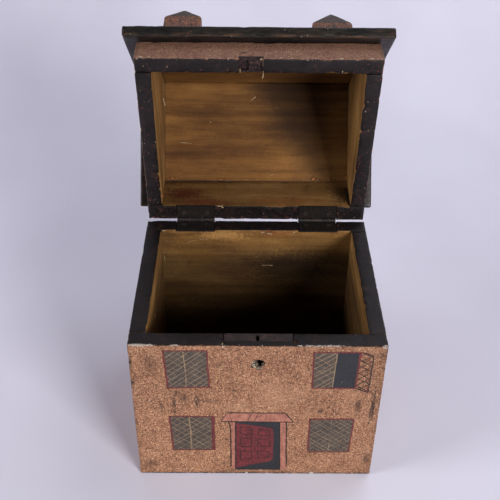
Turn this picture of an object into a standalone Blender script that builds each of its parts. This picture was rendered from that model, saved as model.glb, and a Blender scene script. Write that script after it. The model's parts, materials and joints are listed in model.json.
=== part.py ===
"""Painted wooden cottage caddy: a nailed box with a hinged gable-roof lid, standing open.

Metres, +Z up. The origin is the centre of the underside. -Y is the front with the lock.
The lid is modelled shut and hangs on an empty at the hinge axis, which turns it open.
"""

import math

import bmesh
import bpy
from mathutils import Matrix, Vector

MM = 0.001

# Case
CASE_W, CASE_D, RIM_Z = 145.0, 120.0, 111.0  # outside width and depth, height of the hinge plane
FRONT_T, SIDE_T, BACK_T = 10.5, 9.7, 9.7  # wall thicknesses
BOTTOM_T = 8.0
GAP = 0.3  # glue line between boards
RIM_GAP = 0.15  # half the daylight between the two rims when the lid is shut
EDGE = 0.9  # worn rounding of the outside edges

# Lid, as it sits when shut
LID_W, LID_T = 143.6, 9.6
EAVE_Z = 19.5  # underside of the roof at the outer face, above the hinge plane
ROOF_ANGLE = math.radians(40.2)
ROOF_T = 6.4
EAVE_FRONT, EAVE_BACK = 7.9, 5.6  # overhang along the slope
VERGE = 7.5  # overhang at each gable
OPEN_ANGLE = 83.0  # how far the lid stands open

# Dormers on the front slope: centre X, width, wall height over the slope at the face, gable rise
DORMER_SET_BACK = 4.35
DORMERS = {"dormer_left": (-45.1, 22.2, 14.7, 8.5), "dormer_right": (43.2, 23.8, 8.8, 12.1)}

# Butt hinges
HINGE_X = {"hinge_left": -40.25, "hinge_right": 40.75}
HINGE_L = 25.0
HINGE_OUT = 1.9  # axis behind the back face
KNUCKLE_R, PIN_R, BORE_R = 1.6, 0.8, 0.9
LEAF_T = 1.0
LEAF_SINK = 0.1  # leaf face below the rim
SCREW_PITCH = 15.6

# Lock
LOCK_X = 0.5
PLATE_W, PLATE_H, PLATE_T = 38.6, 24.0, 1.2
SELVEDGE_D, SELVEDGE_SINK = 6.6, 0.55
CAP_W, CAP_H, CAP_D, CAP_WALL = 29.0, 19.6, 5.2, 0.9
KEY_X, KEY_Z, KEY_R = 1.4, 98.0, 1.9
BOLT_TRAVEL = 4.0

TAN, COS, SIN = math.tan(ROOF_ANGLE), math.cos(ROOF_ANGLE), math.sin(ROOF_ANGLE)
HALF_W, HALF_D = CASE_W / 2, CASE_D / 2
LID_HALF = LID_W / 2
AXIS = Vector((0.0, HALF_D + HINGE_OUT, RIM_Z))


def linear(r, g, b):
    def one(c):
        c /= 255.0
        return c / 12.92 if c <= 0.04045 else ((c + 0.055) / 1.055) ** 2.4

    return (one(r), one(g), one(b), 1.0)


WOOD_PAINT = linear(176, 128, 98)
WOOD_ROOF = linear(52, 50, 50)
WOOD_BARE = linear(122, 90, 48)
IRON = linear(62, 54, 52)
IRON_LOCK = linear(74, 62, 56)


for old in list(bpy.data.objects):
    bpy.data.objects.remove(old, do_unlink=True)

parts = bpy.data.collections.new("cottage_caddy")
cutters = bpy.data.collections.new("cutters")
bpy.context.scene.collection.children.link(parts)
bpy.context.scene.collection.children.link(cutters)
cutters.hide_render = True


def material(name, colour, roughness, metallic):
    mat = bpy.data.materials.new(name)
    mat.use_nodes = True
    shader = mat.node_tree.nodes["Principled BSDF"]
    shader.inputs["Base Color"].default_value = colour
    shader.inputs["Roughness"].default_value = roughness
    shader.inputs["Metallic"].default_value = metallic
    mat.diffuse_color = colour
    return mat


def axis_empty(name, at, angle=0.0):
    empty = bpy.data.objects.new(name, None)
    empty.empty_display_size = 0.01
    empty.location = Vector(at) * MM
    empty.rotation_euler = (angle, 0.0, 0.0)
    parts.objects.link(empty)
    return empty


lid_axis = axis_empty("lid_hinge_axis", AXIS, -math.radians(OPEN_ANGLE))
bolt_axis = axis_empty("bolt_slide_axis", (LOCK_X, -53.3, 105.2))


def place(obj, at, parent):
    """Puts an object at a point given in the shut object's frame, under its axis if it moves."""
    base = {None: Vector((0, 0, 0)), lid_axis: AXIS, bolt_axis: bolt_axis.location / MM}[parent]
    obj.parent = parent
    obj.location = (Vector(at) - base) * MM


def finish(obj, look, cutter):
    if cutter:
        cutters.objects.link(obj)
        obj.hide_render = True
        obj.display_type = "WIRE"
    else:
        parts.objects.link(obj)
        colour, roughness, metallic = look
        obj.data.materials.append(material(obj.name, colour, roughness, metallic))
    return obj


def bevel(obj, width, segments=1, angle=30.0):
    mod = obj.modifiers.new("Worn edge", "BEVEL")
    mod.width = width * MM
    mod.segments = segments
    mod.limit_method = "ANGLE"
    mod.angle_limit = math.radians(angle)
    return mod


def box(name, low, high, look=None, parent=None, cutter=False):
    low, high = Vector(low), Vector(high)
    mesh = bpy.data.meshes.new(name)
    bm = bmesh.new()
    bmesh.ops.create_cube(bm, size=1.0)
    bmesh.ops.scale(bm, vec=(high - low) * MM, verts=bm.verts)
    bm.to_mesh(mesh)
    bm.free()
    obj = bpy.data.objects.new(name, mesh)
    place(obj, (low + high) / 2, parent)
    return finish(obj, look, cutter)


def rod(name, radius, x0, x1, y, z, look=None, parent=None, cutter=False, segments=20):
    """A cylinder along X."""
    mesh = bpy.data.meshes.new(name)
    bm = bmesh.new()
    bmesh.ops.create_cone(
        bm, cap_ends=True, segments=segments, radius1=radius * MM, radius2=radius * MM, depth=(x1 - x0) * MM
    )
    bmesh.ops.rotate(bm, matrix=Matrix.Rotation(math.pi / 2, 3, "Y"), verts=bm.verts)
    bm.to_mesh(mesh)
    bm.free()
    mesh.shade_smooth()
    mesh.set_sharp_from_angle(angle=math.radians(40))
    obj = bpy.data.objects.new(name, mesh)
    place(obj, ((x0 + x1) / 2, y, z), parent)
    return finish(obj, look, cutter)


def prism(name, outline, x0, x1, look=None, parent=None, cutter=False):
    """A flat outline of (y, z) points, extruded along X from x0 to x1."""
    curve = bpy.data.curves.new(name + "_outline", "CURVE")
    curve.dimensions = "2D"
    curve.fill_mode = "BOTH"
    curve.extrude = (x1 - x0) / 2 * MM
    mid_y = sum(p[0] for p in outline) / len(outline)
    mid_z = sum(p[1] for p in outline) / len(outline)
    spline = curve.splines.new("POLY")
    spline.points.add(len(outline) - 1)
    for point, (y, z) in zip(spline.points, outline):
        point.co = ((y - mid_y) * MM, (z - mid_z) * MM, 0.0, 1.0)
    spline.use_cyclic_u = True
    guide = bpy.data.objects.new(name + "_outline", curve)
    cutters.objects.link(guide)
    bpy.context.view_layer.update()
    mesh = bpy.data.meshes.new_from_object(guide.evaluated_get(bpy.context.evaluated_depsgraph_get()))
    bpy.data.objects.remove(guide, do_unlink=True)
    mesh.name = name
    mesh.materials.clear()
    bm = bmesh.new()
    bm.from_mesh(mesh)
    bmesh.ops.remove_doubles(bm, verts=bm.verts, dist=1e-6)
    turn = Matrix(((0, 0, 1), (1, 0, 0), (0, 1, 0)))  # outline X to Y, outline Y to Z, thickness to X
    bmesh.ops.transform(bm, matrix=turn.to_4x4(), verts=bm.verts)
    bmesh.ops.recalc_face_normals(bm, faces=bm.faces)
    bmesh.ops.dissolve_limit(bm, angle_limit=math.radians(1), verts=bm.verts, edges=bm.edges)
    bm.to_mesh(mesh)
    bm.free()
    obj = bpy.data.objects.new(name, mesh)
    place(obj, ((x0 + x1) / 2, mid_y, mid_z), parent)
    return finish(obj, look, cutter)


def turned(name, profile, at, direction, look=None, parent=None, cutter=False, steps=16):
    """A turned piece. The profile is (radius, height) from the top down; its top end faces direction."""
    mesh = bpy.data.meshes.new(name)
    bm = bmesh.new()
    chain = [bm.verts.new((r * MM, 0.0, h * MM)) for r, h in profile]
    for a, b in zip(chain, chain[1:]):
        bm.edges.new((a, b))
    bm.to_mesh(mesh)
    bm.free()
    obj = bpy.data.objects.new(name, mesh)
    mod = obj.modifiers.new("Turn", "SCREW")
    mod.steps = mod.render_steps = steps
    mod.use_merge_vertices = True
    mod.merge_threshold = 0.00001
    mod.use_smooth_shade = False
    obj.rotation_euler = Vector((0, 0, 1)).rotation_difference(Vector(direction)).to_euler()
    place(obj, at, parent)
    return finish(obj, look, cutter)


def boolean(obj, other, operation="DIFFERENCE"):
    mod = obj.modifiers.new(operation.title() + " " + other.name, "BOOLEAN")
    mod.operation = operation
    mod.object = other
    mod.solver = "EXACT"
    return obj


# ---------------------------------------------------------------- case boards
painted = (WOOD_PAINT, 0.55, 0.0)
bare = (WOOD_BARE, 0.75, 0.0)
roof_look = (WOOD_ROOF, 0.55, 0.0)
iron = (IRON, 0.5, 0.9)
lock_iron = (IRON_LOCK, 0.5, 0.9)

RIM = RIM_Z - RIM_GAP
front_wall = box("front_wall", (-HALF_W, -HALF_D, 0), (HALF_W, -HALF_D + FRONT_T, RIM), painted)
back_wall = box("back_wall", (-HALF_W, HALF_D - BACK_T, 0), (HALF_W, HALF_D, RIM), painted)
SIDE_Y0, SIDE_Y1 = -HALF_D + FRONT_T + GAP, HALF_D - BACK_T - GAP
left_wall = box("left_wall", (-HALF_W, SIDE_Y0, 0), (-HALF_W + SIDE_T, SIDE_Y1, RIM), painted)
right_wall = box("right_wall", (HALF_W - SIDE_T, SIDE_Y0, 0), (HALF_W, SIDE_Y1, RIM), painted)
for wall in (front_wall, back_wall, left_wall, right_wall):
    bevel(wall, EDGE * 0.6)
IN_X = HALF_W - SIDE_T - GAP
bottom_board = box("bottom_board", (-IN_X, SIDE_Y0, 0), (IN_X, SIDE_Y1, BOTTOM_T), bare)
bevel(bottom_board, 0.3)

# ---------------------------------------------------------------- lid boards, as shut
LID_RIM = RIM_Z + RIM_GAP


def under_roof(y):
    """Top of a lid board at y: just under the roof boards."""
    return RIM_Z + EAVE_Z + (HALF_D - abs(y)) * TAN - 0.25 / COS


y_in = HALF_D - LID_T
lid_front_wall = prism(
    "lid_front_wall",
    [(-HALF_D, LID_RIM), (-y_in, LID_RIM), (-y_in, under_roof(y_in)), (-HALF_D, under_roof(HALF_D))],
    -LID_HALF,
    LID_HALF,
    painted,
    lid_axis,
)
lid_back_wall = prism(
    "lid_back_wall",
    [(y_in, LID_RIM), (HALF_D, LID_RIM), (HALF_D, under_roof(HALF_D)), (y_in, under_roof(y_in))],
    -LID_HALF,
    LID_HALF,
    painted,
    lid_axis,
)
y_gable = y_in - GAP
gable = [
    (-y_gable, LID_RIM),
    (y_gable, LID_RIM),
    (y_gable, under_roof(y_gable)),
    (0.0, under_roof(0.0)),
    (-y_gable, under_roof(y_gable)),
]
lid_left_gable = prism("lid_left_gable", gable, -LID_HALF, -LID_HALF + LID_T, painted, lid_axis)
lid_right_gable = prism("lid_right_gable", gable, LID_HALF - LID_T, LID_HALF, painted, lid_axis)
for wall in (lid_front_wall, lid_back_wall, lid_left_gable, lid_right_gable):
    bevel(wall, EDGE * 0.5)


def roof_outline(side, overhang):
    """Cross section of a roof board: side -1 is the front slope, 1 the back one."""
    low_y, low_z = HALF_D + overhang * COS, RIM_Z + EAVE_Z - overhang * SIN
    top_z = RIM_Z + EAVE_Z + HALF_D * TAN
    return [
        (side * low_y, low_z),
        (side * 0.15, top_z - 0.15 * TAN),
        (side * 0.15, top_z - 0.15 * TAN + ROOF_T / COS),
        (side * (low_y + ROOF_T * SIN), low_z + ROOF_T * COS),
    ]


roof_x = LID_HALF + VERGE
roof_front_board = prism("roof_front_board", roof_outline(-1, EAVE_FRONT), -roof_x, roof_x, roof_look, lid_axis)
roof_back_board = prism("roof_back_board", roof_outline(1, EAVE_BACK), -roof_x, roof_x, roof_look, lid_axis)
for board in (roof_front_board, roof_back_board):
    bevel(board, 0.8, angle=60)

# ---------------------------------------------------------------- dormers
eave_y = -(HALF_D + EAVE_FRONT * COS + ROOF_T * SIN)
eave_top = RIM_Z + EAVE_Z - EAVE_FRONT * SIN + ROOF_T * COS
face_y = eave_y + DORMER_SET_BACK * COS
face_z = eave_top + DORMER_SET_BACK * SIN
under_dormers = prism(
    "under_dormers",
    [
        (eave_y - 40 * COS, eave_top + 0.3 / COS - 40 * SIN),
        (eave_y + 110 * COS, eave_top + 0.3 / COS + 110 * SIN),
        (eave_y + 110 * COS, eave_top - 60),
        (eave_y - 40 * COS, eave_top - 60),
    ],
    -90,
    90,
    parent=lid_axis,
    cutter=True,
)
for name, (mid_x, width, wall_h, rise) in DORMERS.items():
    # An upright block with its two roof slopes planed off, then scribed to the main roof.
    top = face_z + wall_h + rise
    depth = (wall_h + rise) / TAN
    dormer = box(
        name, (mid_x - width / 2, face_y, face_z - 1.0), (mid_x + width / 2, face_y + depth, top), painted, lid_axis
    )
    bm = bmesh.new()
    bm.from_mesh(dormer.data)
    half = (top - (face_z - 1.0)) / 2
    for side in (-1, 1):
        normal = Vector((side * rise, 0.0, width / 2)).normalized()
        cut = bmesh.ops.bisect_plane(
            bm,
            geom=bm.verts[:] + bm.edges[:] + bm.faces[:],
            plane_co=Vector((0, 0, half * MM)),
            plane_no=normal,
            clear_outer=True,
        )
        rim = [g for g in cut["geom_cut"] if isinstance(g, bmesh.types.BMEdge)]
        bmesh.ops.holes_fill(bm, edges=rim)
        bmesh.ops.remove_doubles(bm, verts=bm.verts, dist=1e-6)
        bmesh.ops.dissolve_degenerate(bm, dist=1e-6, edges=bm.edges)
    bmesh.ops.recalc_face_normals(bm, faces=bm.faces)
    bm.to_mesh(dormer.data)
    bm.free()
    bevel(dormer, 0.5, angle=25)
    boolean(dormer, under_dormers)

# ---------------------------------------------------------------- nails
NAIL = [(0.0, 0.0), (1.1, 0.0), (1.1, -0.6), (0.55, -0.9)]


def nail(name, head, direction, length, through, parent=None):
    """A driven nail. Head is the centre of its face, direction points out of the wood."""
    shape = NAIL + [(0.55, -length + 1.6), (0.0, -length)]
    hole = [(0.0, 1.5), (1.3, 1.5), (1.3, -0.85), (0.8, -1.15), (0.8, -length + 1.4), (0.0, -length - 0.5)]
    turned(name, shape, head, direction, iron, parent, steps=10)
    cutter = turned(name + "_hole", hole, head, direction, parent=parent, cutter=True, steps=10)
    for wood in through:
        boolean(wood, cutter)


for x, side, wall in ((-1, "left", left_wall), (1, "right", right_wall)):
    for z, level in ((28.0, "low"), (84.0, "high")):
        nail_x = x * (HALF_W - SIDE_T / 2)
        nail(f"nail_front_{side}_{level}", (nail_x, -HALF_D + 0.4, z), (0, -1, 0), 22, (front_wall, wall))
        nail(f"nail_back_{side}_{level}", (nail_x, HALF_D - 0.4, z), (0, 1, 0), 22, (back_wall, wall))
for x, side, wall in ((-1, "left", lid_left_gable), (1, "right", lid_right_gable)):
    nail_x = x * (LID_HALF - LID_T / 2)
    lid_z = RIM_Z + 10.0
    nail(f"nail_lid_front_{side}", (nail_x, -HALF_D + 0.4, lid_z), (0, -1, 0), 20, (lid_front_wall, wall), lid_axis)
    nail(f"nail_lid_back_{side}", (nail_x, HALF_D - 0.4, lid_z), (0, 1, 0), 20, (lid_back_wall, wall), lid_axis)
    for sign, slope, board in ((-1, "front", roof_front_board), (1, "back", roof_back_board)):
        y = sign * HALF_D * 0.42
        z = RIM_Z + EAVE_Z + (HALF_D - abs(y)) * TAN
        normal = Vector((0, sign * SIN, COS))
        head = Vector((nail_x, y, z)) + normal * (ROOF_T - 0.3)
        nail(f"nail_roof_{slope}_{side}", head, normal, 16, (board, wall), lid_axis)

# ---------------------------------------------------------------- hinges
SCREW = [(0.0, 0.0), (1.75, 0.0), (0.85, -0.9), (0.85, -5.4), (0.3, -7.2), (0.0, -7.2)]
SCREW_HOLE = [(0.0, 0.6), (2.05, 0.6), (2.05, -0.05), (1.12, -1.05), (1.12, -5.4), (0.6, -7.6), (0.0, -7.6)]


def screw(name, head, direction, turn, through, parent=None):
    """A slotted countersunk wood screw. Head is the centre of its face."""
    made = turned(name, SCREW, head, direction, iron, parent)
    up = Vector(direction)
    slot = box(name + "_slot", (-2.5, -0.25, -0.45), (2.5, 0.25, 1.0), cutter=True)
    slot.rotation_euler = (
        Vector((0, 0, 1)).rotation_difference(up).to_matrix() @ Matrix.Rotation(turn, 3, "Z")
    ).to_euler()
    place(slot, Vector(head) + up * 0.275, parent)
    boolean(made, slot)
    cutter = turned(name + "_hole", SCREW_HOLE, head, direction, parent=parent, cutter=True)
    for piece in through:
        boolean(piece, cutter)


axis_y, axis_z = AXIS.y, AXIS.z
for name, mid_x in HINGE_X.items():
    x0, x1 = mid_x - HINGE_L / 2, mid_x + HINGE_L / 2
    third = HINGE_L / 3
    segments = {
        "lower": [(x0, x0 + third - 0.1), (x1 - third + 0.1, x1)],
        "upper": [(x0 + third + 0.1, x1 - third - 0.1)],
    }
    for leaf, (face, thick, parent, wood, proud) in {
        "lower": (RIM - LEAF_SINK, -1, None, back_wall, 0.7),
        "upper": (LID_RIM + LEAF_SINK, 1, lid_axis, lid_back_wall, 0.0),
    }.items():
        z = sorted((face, face + thick * LEAF_T))
        inner = HALF_D - (BACK_T if leaf == "lower" else LID_T) - proud
        plate = box(f"{name}_{leaf}_leaf", (x0, inner, z[0]), (x1, HALF_D, z[1]), iron, parent)
        for i, (a, b) in enumerate(segments[leaf]):
            tab = box(f"{name}_{leaf}_tab{i}", (a, HALF_D - 0.5, z[0]), (b, axis_y, z[1]), parent=parent, cutter=True)
            boolean(plate, tab, "UNION")
            knuckle = rod(
                f"{name}_{leaf}_knuckle{i}", KNUCKLE_R, a, b, axis_y, axis_z, parent=parent, cutter=True
            )
            boolean(plate, knuckle, "UNION")
        bore = rod(f"{name}_{leaf}_bore", BORE_R, x0 - 1, x1 + 1, axis_y, axis_z, parent=parent, cutter=True)
        boolean(plate, bore)
        # The leaf is let into the edge of its board, with clearance at its ends.
        seat = sorted((face - thick * 2.0, face + thick * (LEAF_T + 0.25)))
        recess = box(
            f"{name}_{leaf}_seat",
            (x0 - 0.3, HALF_D - 12.0, seat[0]),
            (x1 + 0.3, HALF_D + 3.0, seat[1]),
            parent=parent,
            cutter=True,
        )
        boolean(wood, recess)
        for i, x in enumerate((mid_x - SCREW_PITCH / 2, mid_x + SCREW_PITCH / 2)):
            screw(
                f"{name}_{leaf}_screw_{'ab'[i]}",
                (x, HALF_D - 4.2, face - thick * 0.05),
                (0, 0, -thick),
                math.radians((25, 70, 110, 50)[2 * i + (leaf == 'upper')]),
                (plate, wood),
                parent,
            )
    rod(f"{name}_pin", PIN_R, x0 + 0.2, x1 - 0.2, axis_y, axis_z, iron)

# ---------------------------------------------------------------- lock
inner_y = -HALF_D + FRONT_T
plate_y = inner_y - PLATE_T
top_z = RIM - SELVEDGE_SINK
lock_plate = box(
    "lock_plate", (LOCK_X - PLATE_W / 2, plate_y, top_z - PLATE_H), (LOCK_X + PLATE_W / 2, inner_y, top_z), lock_iron
)
selvedge = box(
    "lock_selvedge",
    (LOCK_X - PLATE_W / 2, inner_y - SELVEDGE_D, top_z - PLATE_T),
    (LOCK_X + PLATE_W / 2, inner_y, top_z),
    cutter=True,
)
boolean(lock_plate, selvedge, "UNION")
link_slot = box("link_slot", (-0.9, inner_y - 5.9, top_z - 3), (0.9, inner_y - 1.5, top_z + 1), cutter=True)
boolean(lock_plate, link_slot)

cap_y1 = plate_y - GAP
cap_y0 = cap_y1 - CAP_D
cap_z1 = top_z - PLATE_T - GAP
cap_z0 = cap_z1 - CAP_H
cap_x0, cap_x1 = LOCK_X - CAP_W / 2, LOCK_X + CAP_W / 2
lock_cap = box("lock_cap", (cap_x0, cap_y0, cap_z0), (cap_x1, cap_y1, cap_z1), lock_iron)
cap_room = box(
    "cap_room",
    (cap_x0 + CAP_WALL, cap_y0 + CAP_WALL, cap_z0 + CAP_WALL),
    (cap_x1 - CAP_WALL, cap_y1 + 1, cap_z1 - CAP_WALL),
    cutter=True,
)
boolean(lock_cap, cap_room)
cap_slot = box("cap_slot", (-1.3, cap_y0 + 0.5, cap_z1 - 2), (1.3, cap_y1 + 1, cap_z1 + 1), cutter=True)
boolean(lock_cap, cap_slot)

key_round = turned(
    "key_round", [(0, 9), (KEY_R, 9), (KEY_R, -9), (0, -9)], (KEY_X, -HALF_D, KEY_Z), (0, -1, 0), cutter=True, steps=20
)
key_slot = box("key_slot", (KEY_X - 0.85, -HALF_D - 4, 94.4), (KEY_X + 0.85, -HALF_D + 6, KEY_Z), cutter=True)
for piece in (front_wall, lock_cap):
    boolean(piece, key_round)
    boolean(piece, key_slot)

# The mortise: a shallow seat for the plate, a deeper one for the cap, a rebate for the selvedge.
for name, low, high in (
    ("plate_seat", (LOCK_X - PLATE_W / 2 - 0.3, plate_y - 0.3, top_z - PLATE_H - 0.3), (LOCK_X + PLATE_W / 2 + 0.3, inner_y + 2, RIM_Z + 3)),
    ("selvedge_seat", (LOCK_X - PLATE_W / 2 - 0.3, inner_y - SELVEDGE_D - 0.3, top_z - PLATE_T - 0.25), (LOCK_X + PLATE_W / 2 + 0.3, inner_y + 2, RIM_Z + 3)),
    ("cap_seat", (cap_x0 - 0.3, cap_y0 - 0.3, cap_z0 - 0.3), (cap_x1 + 0.3, inner_y + 2, RIM_Z + 3)),
):
    boolean(front_wall, box(name, low, high, cutter=True))

# Bolt: a bar with a gate for the link, a talon for the key and a nose that enters the link's eye.
bolt_x0, bolt_x1 = LOCK_X - 11.5, LOCK_X + 8.6
lock_bolt = box("lock_bolt", (bolt_x0, -54.9, 102.8), (bolt_x1, -51.4, 106.6), lock_iron, bolt_axis)
gate = box("bolt_gate", (-1.9, -56, 104.1), (3.4, -50, 108), parent=bolt_axis, cutter=True)
nose = box("bolt_nose", (-3.5, -53.9, 105.1), (-1.4, -52.4, 106.1), parent=bolt_axis, cutter=True)
talon = box("bolt_talon", (-0.4, -56, 101), (3.2, -50, 103.7), parent=bolt_axis, cutter=True)
boolean(lock_bolt, gate)
boolean(lock_bolt, nose, "UNION")
boolean(lock_bolt, talon)

# The bolt spring: a bowed leaf riveted to the bolt, bearing up against the top of the cap.
mesh = bpy.data.meshes.new("lock_spring")
bm = bmesh.new()
steps = 8
rows = []
for i in range(steps + 1):
    s = i / steps
    x = (-11.2 + 7.6 * s) * MM
    z = (0.95 - 0.55 * math.cos(2 * math.pi * s)) * 0.5 * MM
    rows.append(bm.verts.new((x, -1.2 * MM, z)))
spine = [bm.edges.new((a, b)) for a, b in zip(rows, rows[1:])]
swept = bmesh.ops.extrude_edge_only(bm, edges=spine)
bmesh.ops.translate(
    bm, vec=(0, 2.4 * MM, 0), verts=[g for g in swept["geom"] if isinstance(g, bmesh.types.BMVert)]
)
bmesh.ops.recalc_face_normals(bm, faces=bm.faces)
bm.to_mesh(mesh)
bm.free()
lock_spring = bpy.data.objects.new("lock_spring", mesh)
place(lock_spring, (LOCK_X, -53.1, 106.9), bolt_axis)
finish(lock_spring, lock_iron, False)
leaf = lock_spring.modifiers.new("Leaf thickness", "SOLIDIFY")
leaf.thickness = 0.3 * MM
leaf.offset = 0.0

# The drill pin, which the key's barrel turns on.
turned(
    "lock_drill_pin",
    [(0.0, 0.0), (0.5, 0.0), (0.75, -0.4), (0.75, -4.9), (0.0, -4.9)],
    (KEY_X, plate_y - 0.1 - 4.9, KEY_Z),
    (0, -1, 0),
    lock_iron,
    steps=14,
)
for side, x in (("left", LOCK_X - 16.8), ("right", LOCK_X + 16.8)):
    screw(f"lock_screw_{side}", (x, inner_y + 0.02, 93.5), (0, 1, 0), math.radians(35 if x < 0 else 80), (lock_plate, front_wall))

# ---------------------------------------------------------------- lost hook plate
# The lid's catch plate is gone; its seat in the rim of the lid's front board is broken right through.
hook_seat = box("hook_seat", (-11.5, -HALF_D - 3, RIM_Z - 3), (2.2, -HALF_D + 14, LID_RIM + 1.5), parent=lid_axis, cutter=True)
boolean(lid_front_wall, hook_seat)
hook_hole = turned(
    "hook_screw_hole", [(0, 3), (0.9, 3), (0.9, -4), (0, -5)], (-9.0, -55.2, LID_RIM + 1.5), (0, 0, -1),
    parent=lid_axis, cutter=True, steps=12,
)
boolean(lid_front_wall, hook_hole)

bpy.context.view_layer.update()
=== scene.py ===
"""Looks for the painted wooden cottage caddy: worn boards, hand-painted front, iron hinges and lock."""

import json
import math

import bmesh
import bpy
import numpy as np
from mathutils import Matrix, Vector


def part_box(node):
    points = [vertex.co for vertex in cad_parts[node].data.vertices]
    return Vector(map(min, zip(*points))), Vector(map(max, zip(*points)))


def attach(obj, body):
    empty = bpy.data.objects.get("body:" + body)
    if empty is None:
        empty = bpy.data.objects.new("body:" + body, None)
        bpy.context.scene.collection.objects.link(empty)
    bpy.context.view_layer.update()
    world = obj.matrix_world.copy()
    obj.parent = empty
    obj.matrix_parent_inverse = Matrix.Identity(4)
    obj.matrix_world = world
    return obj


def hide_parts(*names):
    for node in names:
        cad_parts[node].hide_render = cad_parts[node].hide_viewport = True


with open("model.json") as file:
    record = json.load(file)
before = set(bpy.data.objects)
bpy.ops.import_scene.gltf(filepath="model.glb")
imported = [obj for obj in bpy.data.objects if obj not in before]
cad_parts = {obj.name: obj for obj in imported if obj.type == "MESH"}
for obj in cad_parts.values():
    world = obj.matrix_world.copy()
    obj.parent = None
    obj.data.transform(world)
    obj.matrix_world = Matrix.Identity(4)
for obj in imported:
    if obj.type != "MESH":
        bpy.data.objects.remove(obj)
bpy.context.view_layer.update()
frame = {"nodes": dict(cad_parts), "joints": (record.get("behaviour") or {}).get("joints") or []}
nodes = frame["nodes"]


MM = 0.001

# ------------------------------------------------------------------ sizes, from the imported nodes, in mm


def mm_box(name):
    low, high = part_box(name)
    return np.array(low) / MM, np.array(high) / MM


lock_low, lock_high = mm_box("lock_plate")
HINGE = next(j for j in frame["joints"] if j["name"] == "lid_hinge")
AXIS = np.array([float(c) for c in HINGE["pos_m"]]) / MM
OPEN = math.radians(83.0)
ROOF_ANGLE = math.radians(40.2)
TAN, COS, SIN = math.tan(ROOF_ANGLE), math.cos(ROOF_ANGLE), math.sin(ROOF_ANGLE)
RIM_Z, HALF_W, HALF_D = 111.0, 72.5, 60.0
RIM, LID_RIM = 110.85, 111.15
LID_HALF, LID_T, EAVE_Z, ROOF_T = 71.8, 9.6, 19.5, 6.4
ROOF_X = LID_HALF + 7.5
EAVE_FRONT, EAVE_BACK = 7.9, 5.6
LID_TURN = (
    Matrix.Translation(Vector(AXIS) * MM) @ Matrix.Rotation(-OPEN, 4, "X") @ Matrix.Translation(-Vector(AXIS) * MM)
)

# ------------------------------------------------------------------ camera
camera = bpy.data.objects.new("camera", bpy.data.cameras.new("camera"))
bpy.context.scene.collection.objects.link(camera)
right = Vector((0.99995406, -0.00208742, 0.00935566))
up = Vector((-0.00624061, 0.59906737, 0.8006743))
back = -Vector((0.00727602, 0.8006959, -0.59902682))
turn = Matrix((right, up, back)).transposed().to_4x4()
camera.matrix_world = Matrix.Translation(Vector((-7.947, -388.790, 422.801)) * MM) @ turn
camera.data.sensor_width = 36.0
camera.data.lens = 58.76
camera.data.clip_start = 0.01
bpy.context.scene.camera = camera


# ------------------------------------------------------------------ value noise on points, repeatable
def hashed(i, j, k, seed):
    h = (i * 374761393 + j * 668265263 + k * 1442695041 + seed * 1274126177) & 0xFFFFFFFF
    h = ((h ^ (h >> 13)) * 1274126177) & 0xFFFFFFFF
    h = ((h ^ (h >> 15)) * 668265263) & 0xFFFFFFFF
    return ((h ^ (h >> 16)) & 0xFFFF) / 32767.5 - 1.0


def noise(p, size, seed=0):
    """Smooth noise from -1 to 1 at points p, with features of about that size."""
    q = np.asarray(p, float) / size + 1000.0
    i = np.floor(q).astype(np.int64)
    f = q - i
    f = f * f * (3 - 2 * f)
    total = 0.0
    for a in (0, 1):
        for b in (0, 1):
            for c in (0, 1):
                w = (f[:, 0] if a else 1 - f[:, 0]) * (f[:, 1] if b else 1 - f[:, 1]) * (f[:, 2] if c else 1 - f[:, 2])
                total = total + w * hashed(i[:, 0] + a, i[:, 1] + b, i[:, 2] + c, seed)
    return total


def rand(seed, n=1):
    k = np.arange(n, dtype=np.int64)
    r = hashed(k * 7 + 3, k * 13 + 5, k + 11, int(seed)) * 0.5 + 0.5
    return r if n > 1 else float(r[0])


# ------------------------------------------------------------------ materials
def linear(r, g, b):
    def one(c):
        c /= 255.0
        return c / 12.92 if c <= 0.04045 else ((c + 0.055) / 1.055) ** 2.4

    return (one(r), one(g), one(b), 1.0)


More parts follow.
